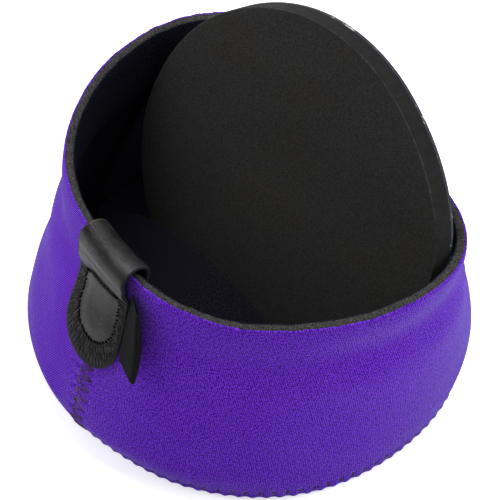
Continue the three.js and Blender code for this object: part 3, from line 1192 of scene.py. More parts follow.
@dataclass(frozen=True)
class Piece:
    """How a finished piece joins the frame.

    Attributes:
        body: The CAD body that it moves with.
        slot: The record's material slot; not used.
        stands_for: CAD nodes that it takes the place of.
    """

    body: Body
    slot: Slot
    stands_for: tuple[str, ...] = ()

    def join(self, piece: bpy.types.Object, material: bpy.types.Material) -> bpy.types.Object:
        """Gives the piece its finish and body.

        Args:
            piece: The object.
            material: Its finish.

        Returns:
            The same object.
        """
        piece.data.materials.append(material)
        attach(piece, self.body.value)
        if self.stands_for:
            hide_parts(*self.stands_for)
        LOG.info("%s: %d faces on %s", piece.name, len(piece.data.polygons), self.body.value)
        return piece


@dataclass(frozen=True)
class Finishes:
    """All the finishes of the cover."""

    jersey: JerseyFinish = JerseyFinish(
        "purple jersey", srgb(136, 56, 243), srgb(50, 4, 132), srgb(184, 184, 255)
    )
    lining: JerseyFinish = JerseyFinish(
        "black lining",
        srgb(30, 29, 45),
        srgb(1, 1, 3),
        srgb(48, 48, 62),
        wale=0.8,
        course=0.62,
        relief=0.16,
        sheen=0.0,
        lint=0.12,
    )
    foam: CutFoamFinish = CutFoamFinish("cut neoprene", srgb(28, 27, 29), srgb(88, 87, 84))
    leather: LeatherFinish = LeatherFinish(
        "black leather", srgb(20, 19, 20), srgb(96, 84, 52), srgb(27, 31, 37)
    )
    thread: ThreadFinish = ThreadFinish("dark seam thread", srgb(12, 5, 7), srgb(166, 130, 114))
    tab_thread: ThreadFinish = ThreadFinish(
        "black tab thread", srgb(7, 7, 8), srgb(98, 98, 96), shine=0.22
    )
    # Partly painted shade: near black and matt, this thread also stands in for the shade in the
    # needle holes.
    needle_mark: ThreadFinish = ThreadFinish(
        "sunk thread with painted hole shade", srgb(3, 3, 4), srgb(10, 10, 11), rough=0.9, shine=0.05
    )
    ribbon: RibbonFinish = RibbonFinish("woven ribbon", srgb(6, 6, 7), srgb(30, 30, 32))
    pad: PadFinish = PadFinish("black foam", srgb(28, 27, 25), srgb(31, 29, 35), srgb(12, 12, 12))
    plate: PlateFinish = PlateFinish("dark plastic", srgb(46, 46, 50), srgb(50, 55, 62))


def section(*runs: tuple[Any, Any, Any, Any]) -> list[Array]:
    """Joins the runs of a layer's closed section into four rows.

    Args:
        *runs: For each run the place up the cloth, the depth, the lift and how far it follows
            the relief, each as one number or one for each point.

    Returns:
        Places, depths, lifts and follows, one for each point.
    """
    spread = [np.broadcast_arrays(*map(np.atleast_1d, run)) for run in runs]
    return [np.concatenate(row).astype(float) for row in zip(*spread)]


@dataclass
class SideWall:
    """The side wall: a strip of jersey, foam and lining whose ends meet in the side seam.

    Attributes:
        shape: The cover's surface.
        base_seam: Stitching round the closed end.
        side_seam: Stitching of the side seam.
        columns: Columns of points round the outside.
        lining_columns: Columns of points round the inside.
        sewn_share: How far up the wall its rows of points lie close together.
        follow: Share of the relief that the jersey's back and the foam's front follow.
        cut_share: Share of the flat strip that is left once it is cut to the cone; not used.
    """

    shape: CoverShape
    base_seam: StitchPlan
    side_seam: SideSeamPlan
    columns: int = 800
    lining_columns: int = 420
    sewn_share: float = 0.46
    follow: float = 0.8
    cut_share: float = 0.95

    def turns(self, count: int) -> Array:
        """Angles from the side seam, closer together beside it.

        The even step is scaled by a dip at both ends, so that the columns gather there.

        Args:
            count: Number of columns.

        Returns:
            Angles from 0 to 2 pi, one more than the columns.
        """
        share = np.linspace(0, 1, count + 1)
        weight = 1 - 0.55 * (bell(share, 0.02) + bell(share - 1, 0.02))
        total = np.concatenate([[0], np.cumsum((weight[1:] + weight[:-1]) / 2)])
        return TURN * total / total[-1]

    def run(self, climb: Array) -> Array:
        """Length up the cloth from the mitre, for a climb as CoverShape.place has it."""
        arc = (np.minimum(climb, 0) + MITRE) * self.shape.corner_radius
        return arc + np.maximum(climb, 0) * self.shape.seam_length

    def relief(self, turned: Array, climb: Array) -> Array:
        """How far the cloth stands out at its seams and where the tab is sewn on.

        Args:
            turned: Angle from the side seam.
            climb: Place up the cloth.

        Returns:
            Distance outwards.
        """
        narrowing, press_width, press_height, press_middle = 0.17, 17, 20, 26
        rise = np.maximum(climb, 0)
        away = np.minimum(turned, TURN - turned) * np.where(turned > math.pi, -1, 1)
        across = away * self.shape.base_radius * (1 - narrowing * rise)
        along = self.shape.seam_length * (1 - rise)
        beside = self.side_seam.relief(across, along) * (0.35 + 0.65 * smooth(rise, 0, 0.02))
        around = self.base_seam.relief(turned, self.run(climb))
        soft = 0.25 * np.sin(9 * turned + 5 * rise) * np.sin(7 * rise + 2 * turned)
        pressed = 0.45 * bell(across, press_width) * bell(along - press_middle, press_height)
        return beside + around + soft * smooth(rise, 0.05, 0.3) - pressed

    def strip(
        self, turned: Array, climb: Array, depth: Array, lift: Array, follow: Array
    ) -> Surface:
        """A closed ring of one layer.

        Each point is the place on the outside, less its depth along the direction out, plus the
        relief times how far it follows it, plus its lift and the rim's wobble up the wall.

        Args:
            turned: Angles from the side seam, one more than the columns.
            climb: Place up the cloth of each point of the section, which is a closed loop.
            depth: Depth of each point of the section.
            lift: Length up from its place.
            follow: How far it follows the relief.

        Returns:
            The surface, with the cloth's flat pattern as the map "Cloth".
        """
        ring, climbs = np.broadcast_arrays(turned[:-1, None], climb[None])
        rise = np.maximum(climbs, 0)
        angle = self.shape.seam_angle(rise) + ring
        point, out, up = self.shape.place(angle, climbs)
        stand = self.relief(ring, climbs) * follow - depth
        rim = self.shape.rim_wobble(angle) * smooth(rise, 0.9, 1)
        points = point + out * stand[..., None] + up * (lift + rim)[..., None]
        loop = np.append(climb, climb[0])
        flat = self.shape.to_flat(turned[:, None], self.run(loop)[None])
        return Surface(
            self.shape.settle(points).reshape(-1, 3),
            grid_quads(len(turned) - 1, len(climb), True, True),
            {"Cloth": grid_flat(*flat)},
        )

    def climbs(self, low: int, middle: int, high: int) -> Array:
        """Places up the cloth, closer together where it is sewn.

        Args:
            low: Number of places on the corner.
            middle: Number of places where the wall is sewn.
            high: Number of places above.

        Returns:
            Places from the mitre to the rim.
        """
        corner = np.linspace(-MITRE, 0, low)[:-1]
        sewn = np.linspace(0, self.sewn_share, middle)[:-1]
        return np.concatenate([corner, sewn, np.linspace(self.sewn_share, 1, high)])

    @property
    def hidden(self) -> Array:
        """Places up the cloth where hidden layers meet, from the mitre to the rim."""
        wall = [0, 0.06, 0.12, 0.2, 0.3, 0.42, 0.54, 0.63, 0.7, 0.76, 0.82, 0.88, 0.94, 1]
        return np.array([-MITRE, -MITRE / 2, *wall])

    def jersey_layer(self) -> Surface:
        """The purple outside, with its cut edge turned in a little at the rim.

        Returns:
            The surface, with its cut edge as an attribute that darkens the jersey there as
            painted shade.
        """
        face, back = self.climbs(10, 46, 22), self.hidden[::-1]
        edge, fray_size, fray_seed = (0.12, 0.38), 0.11, 17
        rows = section(
            (face, 0, 0, 1),
            (1, edge, (0.16, 0.2), 1),
            (back, self.shape.jersey, 0.1 * (back == 1), self.follow),
        )
        surface = self.strip(self.turns(self.columns), *rows)
        grid = surface.points.reshape(self.columns, -1, 3)
        frayed = np.random.default_rng(fray_seed).normal(0, fray_size, (self.columns, 1))
        grid[:, len(face) - 1 : len(face) + 3, 2] += frayed
        # Painted shade: marks the cut edge at the rim, which the finish darkens.
        rim_edge_shade = np.zeros(grid.shape[:2])
        rim_edge_shade[:, len(face) : len(face) + 3] = 1
        surface.values["rim_edge_shade"] = rim_edge_shade.ravel()
        return surface

    def foam_layer(self) -> Surface:
        """The foam core, whose cut edge shows at the rim with a rough crown.

        Returns:
            The surface.
        """
        top, bottom = self.shape.jersey, self.shape.cloth - self.shape.lining
        crown_height, torn_size, torn_seed, smooth_side = 0.34, 0.055, 11, 0.4
        points = 8
        crown = np.linspace(top, bottom, points)
        middle = (top + bottom) / 2
        height = crown_height * (1 - ((crown - middle) / (bottom - middle)) ** 2) + 0.06
        side = self.hidden
        rows = section(
            (side, top, 0, self.follow), (1, crown, height, 0.4), (side[::-1], bottom, 0, 0)
        )
        surface = self.strip(self.turns(self.columns), *rows)
        grid = surface.points.reshape(self.columns, -1, 3)
        torn = np.random.default_rng(torn_seed).normal(0, torn_size, (self.columns, points, 3))
        torn[:, [0, -1]] *= smooth_side
        grid[:, len(side) : len(side) + points] += torn
        return surface

    def lining_layer(self) -> Surface:
        """The black inside, with its cut edge at the rim.

        Returns:
            The surface.
        """
        face, back = self.climbs(5, 24, 8)[::-1], self.hidden
        top, bottom = self.shape.cloth - self.shape.lining, self.shape.cloth
        rows = section(
            (back, top, 0.06 * (back == 1), 0),
            (1, (top + 0.15, bottom - 0.12), (0.12, 0.1), 0),
            (face, bottom, 0, -0.35),
        )
        return self.strip(self.turns(self.lining_columns), *rows)

    def build(self, finishes: Finishes) -> None:
        """Builds and dresses the three layers.

        Args:
            finishes: The finishes.
        """
        length, height = math.pi * self.shape.base_diameter * MM, self.shape.seam_length * MM
        jersey = Piece(Body.COVER, Slot.JERSEY, ("side_wall_jersey",)).join(
            self.jersey_layer().build("wall_jersey"), finishes.jersey.make()
        )
        foam = Piece(Body.COVER, Slot.FOAM, ("side_wall_foam",)).join(
            self.foam_layer().build("wall_foam"), finishes.foam.make()
        )
        lining = Piece(Body.COVER, Slot.LINING, ("side_wall_lining",)).join(
            self.lining_layer().build("wall_lining"), finishes.lining.make()
        )


@dataclass
class ClosedEnd:
    """The round closed end: jersey, foam and lining whose edge turns up to the mitre.

    Attributes:
        shape: The cover's surface.
        base_seam: Stitching round it.
        columns: Columns of points round the outside.
        inner_columns: Columns of points round the layers above it.
        flat_from: Length in from the mitre past which the outside lies flat on the table.
    """

    shape: CoverShape
    base_seam: StitchPlan
    columns: int = 800
    inner_columns: int = 200
    flat_from: float = 3.6

    def layer(self, low: float, high: float, columns: int, detail: bool) -> Surface:
        """One layer: a profile carried round the middle.

        The profile runs out along the underside, up the corner's round to the mitre, and back in
        along the upper side. The relief of the stitching pushes the underside's points out.

        Args:
            low: Depth of the underside.
            high: Depth of the upper side.
            columns: Columns of points round it.
            detail: Whether the underside shows and gets the stitching's relief.

        Returns:
            The surface, with the cloth's flat pattern as the map "Cloth".
        """
        corner = self.shape.corner_radius
        flat = self.shape.base_radius - corner
        count, steps = (14, 12) if detail else (5, 4)
        radial = flat * np.linspace(0.004, 1, count) ** 0.8
        radial = np.sort(np.concatenate([radial, flat - np.array([0.7, 1.5, 2.4])]))
        turn = np.linspace(-math.pi / 2, -MITRE, steps)[1:]
        lean = np.concatenate([0 * radial - math.pi / 2, turn])

        def profile(depth: float, step: int) -> tuple[Array, Array]:
            """One side of the layer, from the middle to the mitre.

            Args:
                depth: Its depth.
                step: Every how many places of the profile it has a point.

            Returns:
                Distance from the middle and height of its points.
            """
            bend, straight = turn[::-step][::-1], radial[::-step][::-1]
            reach = np.concatenate([straight, flat + (corner - depth) * np.cos(bend)])
            level = 0 * straight + depth
            return reach, np.concatenate([level, corner + (corner - depth) * np.sin(bend)])

        reach, height = profile(low, 1)
        back_reach, back_height = (side[::-1] for side in profile(high, 3))
        turned = np.arange(columns) * TURN / columns
        stand = np.zeros((columns, len(reach)))
        if detail:
            run = np.concatenate([-MITRE * corner - (flat - radial), (turn + MITRE) * corner])
            stand = self.base_seam.relief(turned[:, None], run[None])
            stand = np.where(run[None] < -self.flat_from, np.minimum(stand, 0), stand)
        angle = (self.shape.seam_angle(np.zeros(1)) + turned)[:, None]
        across = np.concatenate(
            [reach + stand * np.cos(lean), np.tile(back_reach, (columns, 1))], 1
        )
        up = np.concatenate(
            [height + stand * np.sin(lean), np.tile(back_height, (columns, 1))], 1
        )
        points = np.stack([across * np.cos(angle), across * np.sin(angle), up], -1)
        points = self.shape.settle(points).reshape(-1, 3)
        quads = round_quads(columns, across.shape[1])
        return Surface(points, quads, {"Cloth": points[quads.ravel(), :2] * MM})

    def build(self, finishes: Finishes) -> None:
        """Builds and dresses the three layers.

        Args:
            finishes: The finishes.
        """
        thick, inner = self.shape.jersey, self.shape.cloth - self.shape.lining
        jersey = Piece(Body.COVER, Slot.JERSEY, ("front_panel_jersey",)).join(
            self.layer(0, thick, self.columns, True).build("panel_jersey"),
            finishes.jersey.make(),
        )
        foam = Piece(Body.COVER, Slot.FOAM, ("front_panel_foam",)).join(
            self.layer(thick, inner, self.inner_columns, False).build("panel_foam"),
            finishes.foam.make(),
        )
        lining = Piece(Body.COVER, Slot.LINING, ("front_panel_lining",)).join(
            self.layer(inner, self.shape.cloth, self.inner_columns, False).build("panel_lining"),
            finishes.lining.make(),
        )


@dataclass
class SeamThreads:
    """The zigzag threads of both seams, each leg a stitch that dives into its needle holes.

    The side seam was sewn twice over, so two strands lie side by side in each of its legs.

    Attributes:
        shape: The cover's surface.
        base_seam: Stitching round the closed end.
        side_seam: Stitching of the side seam.
        radius: Radius of the thread round the closed end.
        side_radius: Radius of each strand of the side seam.
        steps: Points along each leg.
    """

    shape: CoverShape
    base_seam: StitchPlan
    side_seam: SideSeamPlan
    radius: float = 0.26
    side_radius: float = 0.1508
    steps: int = 13

    @property
    def mix(self) -> Array:
        """Share of the way along a leg, at each of its points."""
        return np.linspace(0, 1, self.steps)[None]

    def arch(self, lift: float, dive: float) -> Array:
        """Height along a leg: level, and down into the cloth with the sixth power at its ends."""
        return lift - dive * np.linspace(-1, 1, self.steps) ** 6

    def front_seam(self) -> Surface:
        """Legs round the closed end, from the low points to the high points and back.

        Returns:
            The surface.
        """
        legs, uneven, seed = 2 * self.base_seam.count, 0.12, 5
        corner = self.shape.corner_radius
        turned = (np.arange(legs)[:, None] + self.mix) / legs * TURN
        jitter = np.random.default_rng(seed).normal(0, uneven, (legs + 1, 1))
        run = self.base_seam.leg_run(turned) + between(jitter[:, 0], self.mix)
        arc = MITRE * corner
        climb = np.where(run > arc, (run - arc) / self.shape.seam_length, run / corner - MITRE)
        angle = self.shape.seam_angle(np.maximum(climb, 0)) + turned
        point, out, _ = self.shape.place(angle, np.maximum(climb, -math.pi / 2))
        scallop = self.base_seam.scallop(turned / TURN * self.base_seam.count, run)
        stand = self.arch(lift=0.04, dive=1.1) + scallop - self.base_seam.buried(run)
        points = self.shape.settle(point + out * stand[..., None])
        points[..., 2] = np.maximum(points[..., 2], self.radius * 0.9)
        return tubes(points, out, self.radius)

    def side_seam_rows(self) -> Surface:
        """Legs up the side seam, from side to side.

        Returns:
            The surface.
        """
        uneven, seed, sag_size, apart = 0.2, 8, 0.15, 0.46
        pitch = self.shape.stitch_pitch
        count = int((self.side_seam.bottom - self.side_seam.top) / (pitch / 2))
        jitter = np.random.default_rng(seed).normal(0, uneven, (2, count + 1))
        across, along = self.side_seam.needle(np.arange(count + 1))
        number = np.arange(count)[:, None]
        sag = sag_size * np.sin(math.pi * self.mix) * np.where(number % 2 == 0, 1, -1)
        line_across = between(across + jitter[0], self.mix)
        line_along = between(along + jitter[1], self.mix) + sag
        beside = apart * (1 + 0.5 * np.cos(3 * self.mix + number))
        line_across = np.concatenate([line_across, line_across])
        line_along = np.concatenate([line_along - beside, line_along + beside])
        stand = self.arch(lift=0.2, dive=0.9) + 0.3 * bell(line_across, 3.2)
        points, outs = self.shape.sewn_line(line_across, line_along, stand)
        return tubes(self.shape.settle(points), outs, self.side_radius)

    def build(self, finishes: Finishes) -> None:
        """Builds and dresses both threads.

        Args:
            finishes: The finishes.
        """
        material = finishes.thread.make()
        Piece(Body.COVER, Slot.THREAD, ("front_seam_thread",)).join(
            self.front_seam().build("front_seam_stitches"), material
        )
        Piece(Body.COVER, Slot.THREAD, ("side_seam_thread",)).join(
            self.side_seam_rows().build("side_seam_stitches"), material
        )


@dataclass
class PullTab:
    """The leather pull tab: a strip with round ends, folded over the rim, and its stitching.

    Attributes:
        shape: The cover's surface.
        width: Width of the strip.
        thickness: Thickness of the leather.
        length: Outer flap, down from the rim.
        inner_length: Inner flap, down from the rim.
        gap: Clearance from the cloth.
        fold_height: How high the fold stands over the rim.
        puff: How far the strap stands out at its left and right edge.
        crease: How far down its crease lies at the left and the right.
        inner_puff: How far it stands out inside.
        dent: Share of the puff that is lost half way down the strap.
        panel_width: Width of the bare panel.
        panel_centre: Centre of its round end.
        panel_shift: How far right it sits.
        margin: Distance of the outer needle line from the edge.
        thread: Radius of the thread.
        flap_steps: Points along each flap.
        strap_steps: Points along the strap.
        fold_steps: Points round the fold.
    """

    shape: CoverShape
    width: float = 30.0
    thickness: float = 1.8
    length: float = 46.0
    inner_length: float = 44.0
    gap: float = 0.5
    fold_height: float = 5.5
    puff: tuple[float, float] = (2.2, 4.0)
    crease: tuple[float, float] = (13.5, 9.8)
    inner_puff: float = 0.6
    dent: float = 0.16
    panel_width: float = 20.0
    panel_centre: float = 24.2
    panel_shift: float = 1.2
    margin: float = 0.75
    thread: float = 0.3
    flap_steps: int = 60
    strap_steps: int = 42
    fold_steps: int = 33

    def crease_place(self, across: Array) -> Array:
        """How far down the crease lies: a soft step from its left to its right place."""
        right = smooth(across, -self.width / 2, -self.width / 10)
        return self.crease[0] + (self.crease[1] - self.crease[0]) * right

    def middle_line(self, across: Array) -> tuple[Array, Array]:
        """Middle of the leather from the outer end over the rim to the inner end.

        The outer flap lies beside the wall and swells out to the strap with a squared cosine,
        the fold is half an ellipse, and the inner flap comes back to the wall with a square.

        Args:
            across: Place across the strip, one for each row.

        Returns:
            Length along the wall and out from it, rows by points.
        """
        crowding = 1.7
        radius = self.width / 2
        end = np.sqrt(np.maximum(radius**2 - across**2, 0))[:, None]
        outside = self.gap + self.thickness / 2
        inside = -self.shape.cloth - outside
        ease = np.linspace(0, 1, self.flap_steps + 1)[None]
        crease = self.crease_place(across)[:, None]
        right = (across / self.width + 0.5)[:, None]
        puff = self.puff[0] + (self.puff[1] - self.puff[0]) * right
        outer_end = self.length - radius + end
        flap = outer_end + (crease - outer_end) * ease[:, :-1] ** crowding
        strap = crease * (1 - np.linspace(0, 1, self.strap_steps + 1)[None, :-1])
        share = strap / crease
        swell = np.cos(math.pi / 2 * share**1.9) ** 2 - self.dent * bell(share - 0.4, 0.15)
        turn = np.linspace(0, math.pi, self.fold_steps)[None]
        front, back = outside + puff, inside - self.inner_puff
        fold = -self.fold_height * np.sin(turn) + 0 * end
        fold_out = (front + back) / 2 + (front - back) / 2 * np.cos(turn)
        inner = (self.inner_length - radius + end) * (1 - (1 - ease[:, 1:]) ** crowding)
        inner_out = inside - self.inner_puff * np.clip(1 - inner / crease, 0, 1) ** 2
        along = np.concatenate([flap, strap, fold, inner], 1)
        out = np.concatenate([outside + 0 * flap, outside + puff * swell, fold_out, inner_out], 1)
        return along, out

    def tongue(
        self, share: Array, radius: Any, centre: float, shift: float
    ) -> tuple[Array, Array]:
        """A line down one side of a flap, round its end and up the other side.

        Args:
            share: Place along the line, from 0 to 1.
            radius: Half the width of the line's tongue.
            centre: Where its round end has its centre.
            shift: How far right it lies.

        Returns:
            Length across and along.
        """
        left = centre - self.crease_place(np.array(shift - radius))
        right = centre - self.crease_place(np.array(shift + radius))
        run = share * (left + right + math.pi * radius)
        turn = np.clip((run - left) / radius, 0, math.pi)
        climb = np.maximum(run - left - math.pi * radius, 0)
        along = np.where(run < left, centre - left + run, centre + radius * np.sin(turn) - climb)
        return shift - radius * np.cos(turn), along

    def leather(self) -> Surface:
        """The strip: its middle line spread to both faces, thinned to a round cut edge.

        Half the thickness is taken times the root of 1 less the square of the nearness to the
        edge. The bare panel is crowned, the border pressed down, and the crease sharp.

        Returns:
            The surface, with its place on the flap as the map "Flap" and the attributes
            "edge" and "left" for the cut edges.
        """
        rows, edge_radius, crown_rise, pressed = 53, 0.55, 0.45, 0.22
        radius = self.width / 2
        across = radius * np.sin(np.linspace(-math.pi / 2, math.pi / 2, rows))
        along, out = self.middle_line(across)
        wide = across[:, None] + 0 * along
        run = unit(np.stack([np.gradient(along, axis=1), np.gradient(out, axis=1)], -1))
        outer = np.arange(along.shape[1])[None] < (
            self.flap_steps + self.strap_steps + self.fold_steps // 2
        )
        end_centre = np.where(outer, self.length, self.inner_length) - radius
        from_end = np.hypot(wide, along - end_centre)
        from_edge = radius - np.where(along > end_centre, from_end, np.abs(wide))
        from_edge = np.maximum(from_edge, 0)
        near = 1 - np.clip(from_edge / edge_radius, 0.004, 1)
        half = self.thickness / 2 * np.sqrt(1 - near**2)
        below = np.maximum(along - self.panel_centre, 0)
        from_line = np.hypot(wide - self.panel_shift, below) - self.panel_width / 2
        from_crease = along - self.crease_place(wide)
        crown = crown_rise * smooth(-from_line, 0, 5) - pressed * smooth(from_line, -0.4, 0.5)
        crown = crown * smooth(from_crease, -0.2, 0.6)
        crease = 0.1 * bell(from_crease + 1.3, 1.1) - 0.75 * bell(from_crease - 0.25, 0.45)
        crease = crease * np.where(outer, 1.0, 0.4) * smooth(radius - np.abs(wide), 0, 3)
        front = half + (crown + crease) * smooth(from_edge, 0.0, 0.8)
        faces = [
            self.shape.beside_seam(wide, along + thick * run[..., 1], out - thick * run[..., 0])
            for thick in (front, -half)
        ]
        left = smooth(-wide, -6, 6)
        edge = 1 - smooth(from_edge, 0.1 + 0.2 * left, 0.5 + 0.4 * left)
        return slab(*faces, "Flap", (wide, along), edge=edge, left=left)

    def border(self, flap_length: float, face: float, outwards: int, seed: int) -> Surface:
        """Zigzag stitching of a flap, from its edge to the line round the bare panel.

        Args:
            flap_length: Length of the flap.
            face: Where the leather's face is, out from the wall.
            outwards: 1 on the outer flap and -1 on the inner one.
            seed: Seed of the small unevenness.

        Returns:
            The surface.
        """
        count, steps, uneven, dive = 88, 12, 0.16, 0.6
        share = np.linspace(0, 1, count + 1)
        half = self.width / 2
        outer = self.tongue(share, half - self.margin, flap_length - half, 0)
        inner = self.tongue(share, self.panel_width / 2, self.panel_centre, self.panel_shift)
        at_inner = np.arange(count + 1) % 2 == 0
        needle = np.where(at_inner, np.stack(inner), np.stack(outer))
        needle = needle + np.random.default_rng(seed).normal(0, uneven, needle.shape)
        mix = np.linspace(0, 1, steps)[None]
        across, along = between(needle[0], mix), between(needle[1], mix)
        rise = face + outwards * (0.02 - dive * np.linspace(-1, 1, steps) ** 8)
        points, outs = self.shape.sewn_line(across, along, rise, outwards)
        return tubes(points, outs, self.thread, 2)

    def needle_marks(self, face: float) -> Surface:
        """Sunk dashes of thread round the outer flap's bare panel and along under its crease.

        Their near black, matt finish also stands in for the shade in the needle holes, a
        painted shade.

        Args:
            face: Where the leather's face is, out from the wall.

        Returns:
            The surface.
        """
        steps, radius, below_crease, seed = 6, 0.32, 0.75, 21
        random = np.random.default_rng(seed)

        def dashes(count: int, length: float) -> Array:
            """Shares of a line that its dashes cover, each of that length in their pitch."""
            return (np.arange(count)[:, None] + np.linspace(0, length, steps)) / count

        slant = self.panel_width / 2 + np.linspace(-0.35, 0.6, steps)
        round_line = self.tongue(dashes(36, 0.44), slant, self.panel_centre, self.panel_shift)
        top_across = self.panel_shift + self.panel_width * (dashes(11, 0.6) - 0.5)
        top_line = (top_across, self.crease_place(top_across) + below_crease)
        line = np.concatenate([np.stack(round_line), np.stack(top_line)], 1)
        line = line + random.normal(0, 0.17, (2, line.shape[1], 1))
        line[:, :, -1] += random.normal(0, 0.3, (2, line.shape[1]))
        height = face + 0.2 - 0.3 * np.linspace(-1, 1, steps) ** 4
        return tubes(*self.shape.sewn_line(*line, height), radius, 2)

    def build(self, finishes: Finishes) -> None:
        """Builds and dresses the leather and the stitching of both flaps.

        Args:
            finishes: The finishes.
        """
        sunk = 0.15
        Piece(Body.COVER, Slot.LEATHER, ("pull_tab",)).join(
            self.leather().build("tab_leather", 50), finishes.leather.make()
        )
        thread = finishes.tab_thread.make()
        face = self.gap + self.thickness - sunk
        Piece(Body.COVER, Slot.TAB_THREAD, ("tab_stitching_outer",)).join(
            self.border(self.length, face, outwards=1, seed=3).build("tab_border_outer"), thread
        )
        Piece(Body.COVER, Slot.TAB_THREAD).join(
            self.needle_marks(face).build("tab_needle_marks"), finishes.needle_mark.make()
        )
        inner = self.border(self.inner_length, -self.shape.cloth - face, outwards=-1, seed=4)
        Piece(Body.COVER, Slot.TAB_THREAD, ("tab_stitching_inner",)).join(
            inner.build("tab_border_inner"), thread
        )


@dataclass
class WovenLabel:
    """The folded ribbon beside the tab, bare of any lettering.

    Attributes:
        shape: The cover's surface.
        tab_width: Width of the pull tab beside it.
        thickness: Thickness of the ribbon.
        length: Height of the label.
        reach: How far it stands out at its lower end.
        shorter: How much less it stands out at its upper end.
        top: Its upper edge, down from the rim.
        clearance: Distance from the tab and the wall.
        root_spacing: Distance of the two layers at the sewn edge.
        loop_radius: Radius of the fold.
        angle: Degrees between the label and the wall at its lower end.
        turned_out: Degrees more at its upper end.
        slipped: How far the fold has slipped down at the upper end.
    """

    shape: CoverShape
    tab_width: float = 30.0
    thickness: float = 0.5
    length: float = 29.2
    reach: float = 13.6
    shorter: float = 3.0
    top: float = 4.6
    clearance: float = 1.2
    root_spacing: float = 0.9
    loop_radius: float = 1.3
    angle: float = 23.3
    turned_out: float = 13.0
    slipped: float = 0.3

    def axes(self) -> tuple[Array, Array, Array, Array]:
        """The sewn edge and its directions.

        Returns:
            Its lower and upper end, and the directions sideways and out from the wall.
        """
        half = self.length / 2
        across = self.tab_width / 2 + self.clearance
        along = self.top + np.array([0, 2 * half, half, half])
        out = np.array([self.clearance, self.clearance, 1, 0])
        upper, lower, above, below = self.shape.beside_seam(across, along, out)
        edge, away = unit(upper - lower), above - below
        sideways = unit(-np.cross(away, edge))
        outwards = unit(np.cross(edge, sideways))
        return lower, upper, sideways, outwards * np.sign(outwards @ away)

    def ribbon(self) -> Surface:
        """The ribbon: a path out, round the fold and back, carried up the sewn edge.

        With powers of the height it leans out more, reaches less far, slips down and is pinched.

        Returns:
            The surface, with the length round the fold and the height as the map "Ribbon".
        """
        ripple_size, pinch_top, pinch_low, thin_edge = 0.1, 0.7, 0.3, 0.35
        leg_steps, turn_steps, rows = 18, 17, 40
        lower, upper, sideways, outwards = self.axes()
        centre = self.reach - self.loop_radius - self.thickness / 2
        share = np.linspace(0, 1, leg_steps + 1)[:-1]
        root = self.root_spacing / 2
        spread = root + (self.loop_radius - root) * smooth(share, 0, 1)
        leg = np.stack([centre * share, spread], -1)
        turn = np.linspace(math.pi / 2, -math.pi / 2, turn_steps)
        round_end = self.loop_radius * np.stack([np.cos(turn), np.sin(turn)], -1)
        path = np.concatenate([leg, [centre, 0] + round_end, leg[::-1] * [1, -1]])
        run = unit(np.gradient(path, axis=0))
        offset = np.stack([run[:, 1], -run[:, 0]], -1)
        steps = np.linalg.norm(np.diff(path, axis=0), axis=-1)
        length = np.concatenate([[0], np.cumsum(steps)])
        up = np.linspace(0, 1, rows)[:, None]
        outward = path[None, :, 0] / centre
        upper_end = up**2.5
        lean = np.radians(self.angle + self.turned_out * upper_end)
        shrink = 1 - self.shorter / centre * upper_end
        reach = (sideways * np.cos(lean) + outwards * np.sin(lean))[:, None]
        thick = (outwards * np.cos(lean) - sideways * np.sin(lean))[:, None]
        down = unit(lower - upper) * (self.slipped * up**5 * outward)[..., None]
        start = (lower + (upper - lower) * up)[:, None] + down
        ripple = ripple_size * np.sin(9 * up + 1) * outward**2
        pinch = (1 - pinch_top * up**4) * (1 - pinch_low + pinch_low * smooth(up, 0, 0.3))
        half = self.thickness / 2 * np.minimum(1, thin_edge + 40 * np.minimum(up, 1 - up))
        faces = []
        for side in (-half, half):
            far, deep = path[:, 0] + offset[:, 0] * side, path[:, 1] + offset[:, 1] * side
            step = (deep * pinch + ripple)[..., None]
            faces.append(start + reach * (far * shrink)[..., None] + thick * step)
        flat = np.broadcast_arrays(length[None], up * self.length)
        return slab(*faces, "Ribbon", flat)

    def build(self, finishes: Finishes) -> None:
        """Builds and dresses the label.

        Args:
            finishes: The finishes.
        """
        ribbon = Piece(Body.LABEL, Slot.RIBBON, ("woven_label",)).join(
            self.ribbon().build("label_ribbon"), finishes.ribbon.make()
        )


